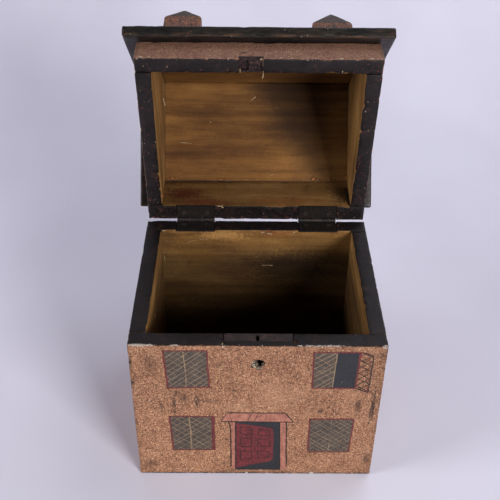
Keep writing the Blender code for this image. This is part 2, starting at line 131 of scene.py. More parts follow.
class Look:
    """A node material with a few short words for common nodes. pos is the surface point in mm, in the piece's own frame."""

    def __init__(self, name):
        self.mat = bpy.data.materials.new(name)
        self.mat.use_nodes = True
        self.tree = self.mat.node_tree
        self.tree.nodes.clear()
        self.out = self.tree.nodes.new("ShaderNodeOutputMaterial")
        self.bsdf = self.tree.nodes.new("ShaderNodeBsdfPrincipled")
        self.tree.links.new(self.bsdf.outputs[0], self.out.inputs[0])
        coord = self.tree.nodes.new("ShaderNodeTexCoord")
        self.pos = self.vec("MULTIPLY", coord.outputs["Object"], (1000, 1000, 1000))
        split = self.tree.nodes.new("ShaderNodeSeparateXYZ")
        self.tree.links.new(self.pos, split.inputs[0])
        self.x, self.y, self.z = split.outputs

    def put(self, socket, value):
        if isinstance(value, bpy.types.NodeSocket):
            self.tree.links.new(value, socket)
        else:
            socket.default_value = value

    def vec(self, op, a, b=(0, 0, 0), c=None):
        node = self.tree.nodes.new("ShaderNodeVectorMath")
        node.operation = op
        self.put(node.inputs[0], a)
        self.put(node.inputs[1], b)
        if c is not None:
            self.put(node.inputs[2], c)
        return node.outputs["Value" if op in ("LENGTH", "DISTANCE", "DOT_PRODUCT") else "Vector"]

    def math(self, op, a, b=0.0, clamp=False):
        node = self.tree.nodes.new("ShaderNodeMath")
        node.operation = op
        node.use_clamp = clamp
        self.put(node.inputs[0], a)
        self.put(node.inputs[1], b)
        return node.outputs[0]

    def add(self, a, b):
        return self.math("ADD", a, b)

    def mul(self, a, b):
        return self.math("MULTIPLY", a, b)

    def most(self, *values):
        out = values[0]
        for v in values[1:]:
            out = self.math("MAXIMUM", out, v)
        return out

    def least(self, *values):
        out = values[0]
        for v in values[1:]:
            out = self.math("MINIMUM", out, v)
        return out

    def size(self, a):
        return self.math("ABSOLUTE", a)

    def inv(self, a):
        return self.math("SUBTRACT", 1.0, a)

    def step(self, a, low, high):
        """0 below low, 1 above high, smooth between; low may be the larger."""
        node = self.tree.nodes.new("ShaderNodeMapRange")
        node.interpolation_type = "SMOOTHSTEP"
        self.put(node.inputs[0], a)
        flip = low > high
        node.inputs[1].default_value, node.inputs[2].default_value = (high, low) if flip else (low, high)
        node.inputs[3].default_value, node.inputs[4].default_value = (1.0, 0.0) if flip else (0.0, 1.0)
        return node.outputs[0]

    def noise(self, size, detail=3.0, rough=0.55, stretch=(1, 1, 1), offset=(0, 0, 0), twist=0.0, vector=None):
        scale = tuple(s / size for s in stretch)
        at = self.vec("MULTIPLY_ADD", vector or self.pos, scale, offset)
        node = self.tree.nodes.new("ShaderNodeTexNoise")
        self.put(node.inputs["Vector"], at)
        node.inputs["Scale"].default_value = 1.0
        node.inputs["Detail"].default_value = detail
        node.inputs["Roughness"].default_value = rough
        node.inputs["Distortion"].default_value = twist
        return node.outputs[0]

    def cells(self, size, offset=(0, 0, 0), stretch=(1, 1, 1), feature="F1", jitter=1.0):
        at = self.vec("MULTIPLY_ADD", self.pos, tuple(s / size for s in stretch), offset)
        node = self.tree.nodes.new("ShaderNodeTexVoronoi")
        node.feature = feature
        self.put(node.inputs["Vector"], at)
        node.inputs["Scale"].default_value = 1.0
        node.inputs["Randomness"].default_value = jitter
        return node.outputs["Distance"], node.outputs.get("Color")

    def mix(self, fac, a, b, blend="MIX"):
        node = self.tree.nodes.new("ShaderNodeMix")
        node.data_type = "RGBA"
        node.blend_type = blend
        self.put(node.inputs[0], fac)
        self.put(node.inputs[6], a)
        self.put(node.inputs[7], b)
        return node.outputs[2]

    def lerp(self, fac, a, b):
        node = self.tree.nodes.new("ShaderNodeMix")
        node.data_type = "FLOAT"
        self.put(node.inputs[0], fac)
        self.put(node.inputs[2], a)
        self.put(node.inputs[3], b)
        return node.outputs[0]

    def ramp(self, fac, *stops):
        node = self.tree.nodes.new("ShaderNodeValToRGB")
        self.put(node.inputs[0], fac)
        spots = node.color_ramp.elements
        while len(spots) < len(stops):
            spots.new(0.5)
        for spot, (at, colour) in zip(spots, stops):
            spot.position = at
            spot.color = colour
        return node.outputs[0]

    def shade(self, colour, value):
        """Darkens or lightens a colour by a factor."""
        node = self.tree.nodes.new("ShaderNodeVectorMath")
        node.operation = "SCALE"
        self.put(node.inputs[0], colour)
        self.put(node.inputs["Scale"], value)
        return node.outputs[0]

    def spot(self, x, y, z, rx, ry, rz, soft=0.5, wobble=None):
        """1 inside an ellipsoid, fading to 0 at its surface, with a wavering edge."""
        d = self.vec("SUBTRACT", self.pos, (x, y, z))
        d = self.vec("MULTIPLY", d, (1 / rx, 1 / ry, 1 / rz))
        d = self.vec("LENGTH", d)
        if wobble is not None:
            d = self.add(d, wobble)
        return self.step(d, 1.0, 1.0 - soft)

    def finish(self, colour, roughness, height=None, depth=0.1, metallic=0.0, specular=0.5, coat=0.0, coat_rough=0.3):
        self.put(self.bsdf.inputs["Base Color"], colour)
        self.put(self.bsdf.inputs["Roughness"], roughness)
        self.put(self.bsdf.inputs["Metallic"], metallic)
        self.bsdf.inputs["Specular IOR Level"].default_value = specular
        self.bsdf.inputs["Coat Weight"].default_value = coat
        self.bsdf.inputs["Coat Roughness"].default_value = coat_rough
        if height is not None:
            bump = self.tree.nodes.new("ShaderNodeBump")
            bump.inputs["Strength"].default_value = 1.0
            bump.inputs["Distance"].default_value = depth * MM
            self.put(bump.inputs["Height"], height)
            self.tree.links.new(bump.outputs[0], self.bsdf.inputs["Normal"])
        return self.mat


def stipple(n, dark, mid, light, pale):
    """Dabbed wall paint: pale worm-like daubs over a darker coat, dirt in the hollows."""
    worm = n.noise(0.94, 2.0, 0.5, twist=1.7)
    small = n.noise(0.45, 2.0, 0.6, offset=(7, 3, 1))
    broad = n.noise(19, 4.0, 0.6, offset=(3, 8, 5))
    patch = n.noise(5.5, 3.0, 0.6, offset=(1, 2, 9))
    tone = n.add(n.mul(worm, 0.62), n.mul(small, 0.38))
    tone = n.add(tone, n.mul(n.add(broad, -0.5), 0.10))
    tone = n.add(tone, n.mul(n.add(patch, -0.5), 0.08))
    colour = n.ramp(tone, (0.375, dark), (0.46, mid), (0.535, light), (0.625, pale))
    return colour, tone, broad, patch, small


def bare_wood(n, along, darkest, dark, mid, light):
    """Old unfinished softwood with its grain along one axis."""
    axis = "xyz".index(along)

    def run(amount):
        s = [1.0, 1.0, 1.0]
        s[axis] = amount
        return tuple(s)

    warp = n.noise(30, 2.0, 0.5, run(0.35), (4, 4, 4))
    band = n.noise(6.5, 3.0, 0.55, run(0.05), (2, 0, 7), twist=0.4)
    fibre = n.noise(1.0, 3.0, 0.6, run(0.06), (5, 1, 3))
    wide = n.noise(20, 4.0, 0.6, run(0.5), (9, 5, 2))
    fuzz = n.noise(0.55, 2.0, 0.6, run(0.6), (3, 3, 8))
    pores = n.noise(0.42, 2.0, 0.5, run(0.13), (0, 6, 4))
    tone = n.add(n.mul(band, 0.36), n.mul(fibre, 0.12))
    tone = n.add(tone, n.mul(wide, 0.34))
    tone = n.add(tone, n.mul(fuzz, 0.18))
    tone = n.add(tone, n.mul(n.add(warp, -0.5), 0.22))
    colour = n.ramp(tone, (0.36, darkest), (0.46, dark), (0.54, mid), (0.66, light))
    pore = n.step(pores, 0.36, 0.24)
    colour = n.mix(n.mul(pore, 0.3), colour, darkest)
    height = n.add(n.mul(fibre, 0.6), n.mul(pores, 0.5))
    return colour, height, wide, fibre


BLACK = linear(33, 27, 30)
GESSO = linear(206, 196, 186)
DIRT = linear(48, 34, 24)


def black_paint(n):
    """Near-black rim paint, brushed, with a few red and pale specks where it has chipped."""
    brush = n.noise(1.6, 3.0, 0.6, offset=(3, 3, 3))
    wide = n.noise(14, 3.0, 0.6, offset=(8, 1, 6))
    tone = n.add(n.mul(brush, 0.5), n.mul(wide, 0.5))
    colour = n.ramp(tone, (0.36, linear(12, 8, 9)), (0.50, linear(21, 16, 16)), (0.66, linear(33, 24, 24)))
    scuff = n.mul(n.step(n.noise(7.0, 4.0, 0.65, offset=(4, 7, 2)), 0.54, 0.66), n.step(brush, 0.42, 0.60))
    colour = n.mix(n.mul(scuff, 0.45), colour, linear(72, 42, 34))
    spots, ident = n.cells(3.4, (5, 5, 5))
    pick = n.noise(4.4, 1.0, 0.5, offset=(11, 2, 6))
    speck = n.mul(n.step(spots, 0.14, 0.07), n.step(pick, 0.55, 0.62))
    colour = n.mix(n.mul(speck, 0.8), colour, linear(116, 52, 42))
    spots2, ident2 = n.cells(5.0, (1, 7, 2))
    pick2 = n.noise(5.1, 1.0, 0.5, offset=(2, 9, 4))
    speck2 = n.mul(n.step(spots2, 0.075, 0.035), n.step(pick2, 0.5, 0.58))
    colour = n.mix(n.mul(speck2, 0.8), colour, linear(150, 128, 112))
    return colour, brush


def wall_material(name, half_w, half_d, rim, rim_sign, along, pink=0.0, case=True, blots=(), light=(0.9, 0.45)):
    """Board paint: stippled outside, black rim, bare wood within. rim_sign is 1 where the rim is the board's top."""
    n = Look(name)
    ragged = n.add(n.noise(2.1, 3.0, 0.6, offset=(6, 2, 2)), -0.5)
    fine = n.add(n.noise(0.7, 2.0, 0.6, offset=(1, 9, 3)), -0.5)
    edge = n.add(n.mul(ragged, 1.5), n.mul(fine, 0.9))
    outside = n.most(n.add(n.size(n.x), -half_w), n.add(n.size(n.y), -half_d))
    above = n.mul(n.add(n.z, -rim), rim_sign)

    base, tone, broad, patch, small = stipple(
        n, linear(56, 38, 29), linear(109, 77, 57), linear(142, 104, 79), linear(196, 159, 126)
    )
    if pink:
        base = n.mix(pink, base, linear(124, 88, 78), "MIX")
        base = n.mix(n.mul(n.step(small, 0.40, 0.30), 0.6), base, linear(60, 40, 36))
    # broad grime and light rubbing
    grime = n.step(n.noise(24, 4.0, 0.62, offset=(2, 6, 1)), 0.50, 0.68)
    base = n.mix(n.mul(grime, 0.20), base, linear(80, 52, 36))
    rub = n.step(n.noise(15, 4.0, 0.6, stretch=(0.7, 1, 1.2), offset=(9, 3, 7)), 0.54, 0.70)
    base = n.mix(n.mul(rub, 0.20), base, linear(172, 130, 98))
    drips = n.step(n.noise(3.2, 3.0, 0.6, stretch=(1, 1, 0.10), offset=(5, 5, 8)), 0.60, 0.74)
    base = n.mix(n.mul(drips, 0.24), base, linear(70, 46, 33))
    if not pink:
        base = n.vec("MULTIPLY", base, (1.12, 1.03, 0.98))
        # painted light: the outside paint is lighter towards the bottom; painted shade: darker towards the right-hand
        # end
        base = n.shade(base, n.lerp(n.step(n.z, 0, 100), 1.16, 0.98))
        base = n.shade(base, n.lerp(n.step(n.x, 20, 72), 1.0, 0.88))
    specks, ident = n.cells(1.7, (3, 3, 1))
    base = n.mix(n.mul(n.step(specks, 0.20, 0.08), n.mul(n.step(patch, 0.47, 0.56), 0.7)), base, linear(40, 27, 21))
    glints, ident = n.cells(2.6, (8, 2, 1))
    base = n.mix(n.mul(n.step(glints, 0.15, 0.06), 0.8), base, linear(212, 184, 152))
    # darker, dirtier corners
    corner = n.mul(n.step(n.size(n.x), half_w - 3.4, half_w - 0.2), n.step(n.size(n.y), half_d - 3.4, half_d - 0.2))
    base = n.mix(n.mul(corner, n.mul(n.step(n.add(ragged, 0.5), 0.40, 0.62), 0.55)), base, linear(52, 35, 26))
    if case:
        waver = n.add(n.mul(ragged, 1.1), n.mul(fine, 0.8))
        streaky = n.noise(1.2, 3.0, 0.65, stretch=(1, 1, 0.16), offset=(2, 2, 2))
        stains_and_shade = None
        for x, z, rx, rz, strength in (
            (-48.3, 63.5, 1.6, 11.5, 0.75),
            (-46.4, 73.0, 2.4, 3.6, 0.85),
            (-42.6, 69.6, 2.8, 4.6, 0.8),
            (-35.0, 67.0, 2.1, 6.6, 0.8),
            (-26.5, 66.6, 8.0, 2.6, 0.55),
            (-56.0, 62.5, 1.3, 8.5, 0.6),
            (38.0, 58.5, 2.6, 1.8, 0.7),
            (59.8, 62.0, 2.6, 9.5, 0.75),
            (68.2, 61.0, 2.0, 17.5, 0.85),
            (68.6, 15.5, 3.4, 7.5, 0.8),
            (-60.0, 97.0, 6.5, 8.5, 0.55),
            (-71.6, 81.5, 2.2, 2.8, 0.95),
            (-72.0, 97.0, 1.6, 1.8, 0.7),
            (-12.8, 75.2, 2.0, 0.9, 0.8),
            (70.0, 104.0, 3.4, 3.6, 0.6),
            (-66.0, 10.0, 7.0, 6.0, 0.45),
            # painted shade along the bottom edge, where the box meets the floor
            (0.0, 2.0, 60.0, 2.4, 0.35),
        ):
            one = n.mul(n.spot(x, -60, z, rx, 3.0, rz, 0.75, waver), strength)
            stains_and_shade = one if stains_and_shade is None else n.most(stains_and_shade, one)
        stains_and_shade = n.mul(stains_and_shade, n.step(n.add(n.mul(small, 0.6), n.mul(streaky, 0.5)), 0.42, 0.62))
        base = n.mix(stains_and_shade, base, linear(44, 31, 25))
        pale = None
        for x, z, rx, rz, strength in ((-44.0, 11.2, 9.0, 1.6, 0.55), (-10.0, 62.0, 9.0, 5.0, 0.3), (12.0, 72.0, 22.0, 16.0, 0.22)):
            one = n.mul(n.spot(x, -60, z, rx, 3.0, rz, 0.9, waver), strength)
            pale = one if pale is None else n.most(pale, one)
        base = n.mix(pale, base, linear(182, 142, 110))
        # scorched tint round the keyhole
        ring = n.spot(1.4, -60, 97.2, 9.0, 4.0, 9.0, 0.9, waver)
        base = n.mix(n.mul(ring, 0.35), base, linear(116, 72, 48))

    rim_col, brush = black_paint(n)
    wood, wood_h, wide, fibre = bare_wood(
        n, along, linear(80, 57, 30), linear(108, 81, 46), linear(130, 101, 62), linear(156, 126, 84)
    )
    # inside faces: darker towards the bottom of the case, thin pale line where the rim paint stops
    # the pale line is partly painted highlight on the inner arris
    inner_edge = n.mul(n.step(above, -1.7, -0.5), n.step(n.add(fine, ragged), -0.20, 0.25))
    wood = n.mix(n.mul(inner_edge, 0.55), wood, linear(158, 128, 92))
    for (x, y, z), (rx, ry, rz), strength, tone_of in blots:
        wood = n.mix(n.mul(n.spot(x, y, z, rx, ry, rz, 0.8, n.mul(edge, 1.1)), strength), wood, linear(*tone_of))
    smudge = n.step(n.noise(9, 3.0, 0.6, offset=(6, 6, 1)), 0.55, 0.75)
    wood = n.mix(n.mul(smudge, 0.4), wood, linear(70, 42, 26))
    # the wood gets darker away from the rim
    deeper = n.step(n.add(above, n.mul(ragged, 3.0)), -7.0, -26.0)
    wood = n.vec("MULTIPLY", n.shade(wood, n.lerp(deeper, light[0], light[1])), (1.07, 0.92, 0.70))

    colour = wood
    face = n.step(n.add(outside, n.mul(edge, 0.10)), -0.75, -0.62)
    colour = n.mix(face, colour, base)
    # rim: black, a little over the rounded arris
    top = n.step(n.add(above, n.mul(edge, 0.42)), -0.62, -0.40)
    colour = n.mix(top, colour, rim_col)
    block = n.mul(n.step(n.size(n.x), half_w - 10.2, half_w - 9.8), n.step(n.size(n.y), 49.0, 49.6))
    colour = n.mix(n.mul(n.mul(block, n.inv(face)), n.step(above, -3.0, -2.0)), colour, rim_col)
    # chips along the outside arris of the rim show the white ground, then wood
    if case:
        where = n.most(
            n.mul(n.spot(-65.5, -60, 110.9, 9.5, 1.4, 1.25, 0.35, n.mul(edge, 0.9)), 1.0),
            n.mul(n.spot(-46.0, -60, 110.8, 4.0, 1.0, 0.7, 0.35, n.mul(edge, 0.9)), 0.8),
            n.mul(n.spot(36.0, -60, 110.7, 16.0, 1.0, 0.62, 0.35, n.mul(edge, 1.5)), 0.7),
            n.mul(n.spot(70.8, -60, 110.2, 2.2, 1.3, 1.6, 0.35, n.mul(edge, 0.9)), 0.8),
            n.mul(n.spot(-18.8, -59.2, 110.4, 1.6, 1.6, 1.3, 0.35, n.mul(edge, 0.9)), 0.6),
        )
        colour = n.mix(where, colour, n.mix(n.step(small, 0.42, 0.56), linear(98, 76, 60), linear(196, 188, 180)))
    arris = n.mul(n.step(outside, -1.1, -0.35), n.step(above, -1.0, -0.2))
    nick = n.mul(arris, n.step(n.noise(1.5, 2.0, 0.6, offset=(4, 1, 1)), 0.60, 0.66))
    colour = n.mix(n.mul(nick, 0.8), colour, n.mix(n.step(ragged, -0.05, 0.1), linear(112, 60, 46), linear(182, 160, 142)))
    if case:
        # white ground and bruised wood in the crater round the keyhole
        hole = n.vec("LENGTH", n.vec("MULTIPLY", n.vec("SUBTRACT", n.pos, (0.4, 0, 96.6)), (1, 0, 0.85)))
        crater = n.mul(n.step(hole, 6.2, 5.2), n.step(n.y, -59.93, -59.82))
        crater = n.mul(crater, n.step(n.y, -58.9, -59.2))
        ground = n.ramp(n.noise(0.8, 3.0, 0.7, offset=(2, 1, 5)), (0.40, linear(52, 38, 26)), (0.50, linear(140, 122, 98)), (0.62, linear(190, 180, 160)))
        colour = n.mix(crater, colour, ground)
        deep = n.mul(n.mul(n.step(hole, 6.2, 5.2), n.step(n.y, -59.2, -58.6)), n.step(n.y, -50.2, -51.0))
        colour = n.mix(deep, colour, linear(60, 36, 20))
        # the lock's seat is stained dark
        seat = n.mul(n.mul(n.step(n.size(n.add(n.x, -0.5)), 24.6, 23.2), n.step(n.y, -59.7, -59.2)), n.step(n.z, 80, 84))
        seat = n.mul(seat, n.step(n.y, -48.0, -49.4))
        colour = n.mix(n.mul(seat, n.mul(n.step(above, -0.2, -0.5), 0.85)), colour, linear(44, 31, 30))
    if pink:
        torn = n.mul(n.step(n.size(n.add(n.x, 4.6)), 7.5, 6.9), n.step(n.z, 114.6, 113.9))
        torn = n.mul(torn, n.step(n.z, LID_RIM + 0.55, LID_RIM + 0.9))
        plum = n.ramp(n.noise(1.6, 3.0, 0.65, offset=(5, 1, 1)), (0.40, linear(16, 11, 11)), (0.52, linear(36, 23, 24)), (0.62, linear(56, 37, 34)), (0.74, linear(104, 84, 64)))
        colour = n.mix(torn, colour, plum)
        dash = n.spot(-8.9, -60, 118.3, 1.7, 1.0, 1.3, 0.35, n.mul(edge, 0.35))
        colour = n.mix(n.mul(dash, 0.85), colour, linear(60, 48, 46))

    shine = n.lerp(face, 0.80, n.lerp(n.step(tone, 0.40, 0.62), 0.62, 0.44))
    shine = n.lerp(top, shine, n.lerp(n.step(brush, 0.35, 0.65), 0.42, 0.60))
    height = n.lerp(face, n.mul(wood_h, 0.55), n.add(n.mul(tone, 1.0), n.mul(small, 0.35)))
    height = n.lerp(top, height, n.mul(brush, 0.55))
    return n.finish(colour, shine, height, 0.32, specular=0.24)


def roof_material(name, front):
    """Dark green-black roof paint over the outside and overhangs, bare wood under the lid."""
    n = Look(name)
    ragged = n.add(n.noise(2.4, 3.0, 0.6, offset=(6, 2, 2)), -0.5)
    fine = n.add(n.noise(0.8, 2.0, 0.6, offset=(1, 9, 3)), -0.5)
    inner = n.mul(n.step(n.size(n.x), 62.6, 61.8), n.step(n.size(n.y), 51.2, 50.2))
    # distance above the inside plane of the roof
    over = n.add(n.add(n.z, -(RIM_Z + EAVE_Z + HALF_D * TAN)), n.mul(n.size(n.y), TAN))
    inner = n.mul(inner, n.step(over, 2.2, 1.4))
    brush = n.noise(1.1, 3.0, 0.6, stretch=(0.18, 1, 1), offset=(3, 3, 3))
    wide = n.noise(12, 4.0, 0.6, stretch=(0.5, 1, 1), offset=(8, 1, 6))
    tone = n.add(n.mul(brush, 0.5), n.mul(wide, 0.5))
    paint = n.ramp(
        tone, (0.36, linear(17, 17, 16)), (0.48, linear(26, 25, 23)), (0.58, linear(38, 32, 28)), (0.70, linear(60, 42, 32))
    )
    # rubbed brown along the edges
    length = n.size(n.x)
    low = n.step(n.z, 127.6, 125.8) if front else n.step(n.z, 128.9, 127.0)
    worn = n.mul(low, n.step(n.add(n.noise(4.0, 4.0, 0.65, stretch=(0.22, 1, 1), offset=(1, 1, 6)), n.mul(fine, 0.3)), 0.47, 0.62))
    paint = n.mix(n.mul(worn, 0.6), paint, linear(92, 64, 40))
    ends = n.mul(n.step(length, ROOF_X - 1.8, ROOF_X - 0.2), n.step(n.noise(3.0, 3.0, 0.6, offset=(4, 4, 1)), 0.48, 0.62))
    paint = n.mix(n.mul(ends, 0.5), paint, linear(92, 64, 46))
    under = n.mul(n.step(over, 0.9, 0.3), n.inv(inner))
    paint = n.mix(n.mul(under, 0.55), paint, n.mix(n.step(wide, 0.4, 0.6), linear(26, 22, 23), linear(46, 37, 37)))
    spots, ident = n.cells(4.2, (5, 5, 5))
    paint = n.mix(n.mul(n.step(spots, 0.09, 0.04), 0.8), paint, linear(150, 134, 118))
    spots, ident = n.cells(3.6, (2, 8, 5))
    pick = n.step(n.noise(6, 1.0, 0.5, offset=(11, 2, 6)), 0.55, 0.62)
    paint = n.mix(n.mul(n.mul(n.step(spots, 0.13, 0.06), pick), 0.8), paint, linear(122, 66, 44))

    wood, wood_h, broad, fibre = bare_wood(
        n, "x", linear(84, 54, 24), linear(112, 76, 38), linear(138, 97, 50), linear(164, 120, 68)
    )
    dark_side = n.step(n.noise(30, 2.0, 0.5, offset=(0.4, 0, 0)), 0.42, 0.6)
    wood = n.mix(n.mul(dark_side, 0.18), wood, linear(78, 44, 22))
    joint = n.step(n.size(n.y), 49.0, 50.3)
    wood = n.mix(n.mul(n.mul(joint, n.step(fine, 0.02, 0.2)), 0.6), wood, linear(150, 108, 70))
    # painted shade: on the back slope the wood is darker towards the ridge than towards the back eave
    wood = n.shade(wood, 0.62 if front else n.lerp(n.step(n.add(n.y, n.mul(ragged, 8.0)), 24.0, 46.0), 0.62, 0.82))
    wood = n.vec("MULTIPLY", wood, (1.0, 0.94, 0.80))
    if not front:
        # painted shadow, from the middle of the ridge to the right-hand corner, lightened again close to the
        # right-hand gable
        painted_shadow = n.step(n.add(n.add(n.x, n.mul(n.y, -0.9)), n.mul(ragged, 12.0)), -21.0, 7.0)
        wood = n.shade(wood, n.lerp(painted_shadow, 1.04, 0.40))
        wood = n.shade(wood, n.lerp(n.step(n.x, 38.0, 56.0), 1.0, 1.9))
    colour = n.mix(inner, paint, wood)
    shine = n.lerp(inner, n.lerp(n.step(brush, 0.35, 0.65), 0.34, 0.52), 0.74)
    height = n.lerp(inner, n.mul(n.add(brush, n.mul(fine, 0.5)), 0.6), n.mul(wood_h, 0.6))
    return n.finish(colour, shine, height, 0.22, specular=0.22)


def iron_material(name, base=(50, 43, 41), rust=(92, 54, 34), bright=(136, 126, 116), metallic=0.55):
    n = Look(name)
    pits = n.noise(0.9, 4.0, 0.65)
    wide = n.noise(4.5, 3.0, 0.6, offset=(3, 6, 1))
    scale = n.noise(0.35, 3.0, 0.6, offset=(4, 4, 4))
    tone = n.add(n.mul(pits, 0.55), n.mul(wide, 0.45))
    colour = n.ramp(tone, (0.34, linear(*[c * 0.55 for c in base])), (0.50, linear(*base)), (0.66, linear(*[c * 1.6 for c in base])))
    rusty = n.mul(n.step(wide, 0.50, 0.64), n.step(pits, 0.44, 0.58))
    colour = n.mix(n.mul(rusty, 0.55), colour, linear(*rust))
    glint = n.mul(n.step(scale, 0.62, 0.70), n.step(pits, 0.46, 0.6))
    colour = n.mix(n.mul(glint, 0.5), colour, linear(*bright))
    rough = n.lerp(n.step(tone, 0.38, 0.62), 0.62, 0.42)
    return n.finish(colour, rough, n.add(pits, n.mul(scale, 0.5)), 0.16, metallic=metallic, specular=0.5)


def flat_paint(name, low, mid, high, size=1.1, rough=(0.62, 0.48), worn=0.0, under=(176, 124, 94), grain=1.0):
    """Brushed paint in one hue with the daubed ground showing through where it is rubbed."""
    n = Look(name)
    a = n.noise(size, 3.0, 0.6, twist=0.6)
    b = n.noise(size * 0.42, 2.0, 0.6, offset=(5, 2, 2))
    c = n.noise(size * 6, 3.0, 0.6, offset=(1, 2, 8))
    tone = n.add(n.add(n.mul(a, 0.45 * grain), n.mul(b, 0.3 * grain)), n.mul(c, 0.25))
    tone = n.add(tone, 0.375 * (1 - grain))
    colour = n.ramp(tone, (0.38, linear(*low)), (0.50, linear(*mid)), (0.62, linear(*high)))
    if worn:
        gone = n.mul(n.step(b, 0.56, 0.66), worn)
        colour = n.mix(gone, colour, linear(*under))
    return n.finish(colour, n.lerp(n.step(a, 0.4, 0.6), *rough), n.add(a, n.mul(b, 0.6)), 0.16, specular=0.42)


# ------------------------------------------------------------------ mesh helpers
def mesh_object(name, verts, faces, material, smooth=True, matrix=None, sharp=35):
    mesh = bpy.data.meshes.new(name)
    mesh.from_pydata([tuple(v) for v in np.asarray(verts, float) * MM], [], [tuple(int(i) for i in f) for f in faces])
    mesh.validate()
    mesh.materials.append(material)
    if smooth:
        mesh.shade_smooth()
        mesh.set_sharp_from_angle(angle=math.radians(sharp))
    obj = bpy.data.objects.new(name, mesh)
    bpy.context.scene.collection.objects.link(obj)
    if matrix is not None:
        obj.matrix_world = matrix
    return obj


def stations(a, b, step, r, extra=()):
    """Grid lines from a to b: close together in the rounded edge, then evenly spaced."""
    n = max(1, int(round((b - a - 2 * r) / step)))
    inner = np.linspace(a + r, b - r, n + 1)
    ends = np.array([0.0, 0.30, 0.66]) * r
    line = np.concatenate([a + ends, inner, b - ends[::-1]])
    for e in extra:
        line[np.argmin(abs(line - e))] = e
    return line


def grid_box(xs, ys, zs):
    nx, ny, nz = len(xs), len(ys), len(zs)
    i, j, k = np.meshgrid(range(nx), range(ny), range(nz), indexing="ij")
    skin = (i == 0) | (i == nx - 1) | (j == 0) | (j == ny - 1) | (k == 0) | (k == nz - 1)
    index = -np.ones((nx, ny, nz), int)
    index[skin] = np.arange(skin.sum())
    points = np.stack([np.asarray(xs)[i[skin]], np.asarray(ys)[j[skin]], np.asarray(zs)[k[skin]]], 1)
    faces = []

    def side(a, b, c, d):
        faces.append(np.stack([a.ravel(), b.ravel(), c.ravel(), d.ravel()], 1))

    for s, flip in ((0, False), (nx - 1, True)):
        g = index[s]
        q = (g[:-1, :-1], g[:-1, 1:], g[1:, 1:], g[1:, :-1])
        side(*(q[::-1] if flip else q))
    for s, flip in ((0, True), (ny - 1, False)):
        g = index[:, s]
        q = (g[:-1, :-1], g[:-1, 1:], g[1:, 1:], g[1:, :-1])
        side(*(q[::-1] if flip else q))
    for s, flip in ((0, False), (nz - 1, True)):
        g = index[:, :, s]
        q = (g[:-1, :-1], g[:-1, 1:], g[1:, 1:], g[1:, :-1])
        side(*(q[::-1] if flip else q))
    return points, np.concatenate(faces)


def board(name, low, high, material, body, r=0.8, step=1.7, seed=1, wave=0.03, chip=0.55, bias=0.25, shape=None, matrix=None, extra=((), (), ()), steps=None):
    """A worn board: a finely divided box with rounded, nicked edges and slightly uneven faces.
    shape then maps its points, still in mm, to their final places. Returns the object."""
    low, high = np.array(low, float), np.array(high, float)
    steps = steps or (step, step, step)
    lines = [stations(low[a], high[a], steps[a], r, extra[a]) for a in range(3)]
    p, faces = grid_box(*lines)
    mid = (low + high) / 2
    centre = np.clip(p, low + r, high - r)
    d = p - centre
    length = np.linalg.norm(d, axis=1)
    normal = d / np.maximum(length, 1e-9)[:, None]
    q = centre + normal * r
    # nicks: pushed in towards the board along the edges
    room = np.minimum(p - low, high - p)
    near = np.exp(-((room / 1.15) ** 2))
    order = np.sort(room, axis=1)
    at_edge = np.exp(-((order[:, 1] / 1.15) ** 2))
    inward = -np.sign(p - mid) * near
    inward /= np.maximum(np.linalg.norm(inward, axis=1), 1e-9)[:, None]
    rough = 0.55 * noise(p, 8.5, seed) + 0.45 * noise(p, 2.6, seed + 1) + 0.25 * noise(p, 1.2, seed + 2)
    deep = np.clip(rough - bias, 0, 1) * chip * 2.0 * at_edge
    q = q + inward * deep[:, None]
    wander = noise(p, 34, seed + 3) + 0.6 * noise(p, 11, seed + 4)
    q = q + normal * (wave * wander)[:, None]
    q = q + inward * (0.10 * (1 + noise(p, 5.0, seed + 5)) * at_edge)[:, None]
    if shape is not None:
        q = shape(q, p)
    obj = mesh_object(name, q, faces, material, matrix=matrix)
    obj["body"] = body
    return obj


def volume(mesh):
    bm = bmesh.new()
    bm.from_mesh(mesh)
    size = abs(bm.calc_volume())
    bm.free()
    return size


def cut(obj, cutters):
    """Takes the cutters out of obj one after another, for good."""
    keep = obj.data.materials[0]
    before = volume(obj.data)
    for c in cutters:
        mod = obj.modifiers.new("cut", "BOOLEAN")
        mod.operation = "DIFFERENCE"
        mod.object = c
        mod.solver = "EXACT"
        bpy.context.view_layer.update()
        made = bpy.data.meshes.new_from_object(obj.evaluated_get(bpy.context.evaluated_depsgraph_get()))
        obj.modifiers.clear()
        after = volume(made)
        if after < before * 0.9:
            print("CUT FAILED", obj.name, c.name)
        else:
            obj.data = made
            before = after
        bpy.data.objects.remove(c, do_unlink=True)
    obj.data.materials.clear()
    obj.data.materials.append(keep)
    obj.data.shade_smooth()
    obj.data.set_sharp_from_angle(angle=math.radians(35))
    return obj


def rough_box(name, low, high, seed, amount=0.25, step=1.2, matrix=None, freeze=None):
    """A box cutter with torn, uneven sides."""
    low, high = np.array(low, float), np.array(high, float)
    lines = [np.linspace(low[a], high[a], max(2, int((high[a] - low[a]) / step)) + 1) for a in range(3)]
    p, faces = grid_box(*lines)
    shift = np.stack([noise(p, 2.2, seed + a) + 0.5 * noise(p, 0.9, seed + 7 + a) for a in range(3)], 1) * amount
    if freeze is not None:
        shift = shift * np.array(freeze)
    return mesh_object(name, p + shift, faces, blank, smooth=False, matrix=matrix)


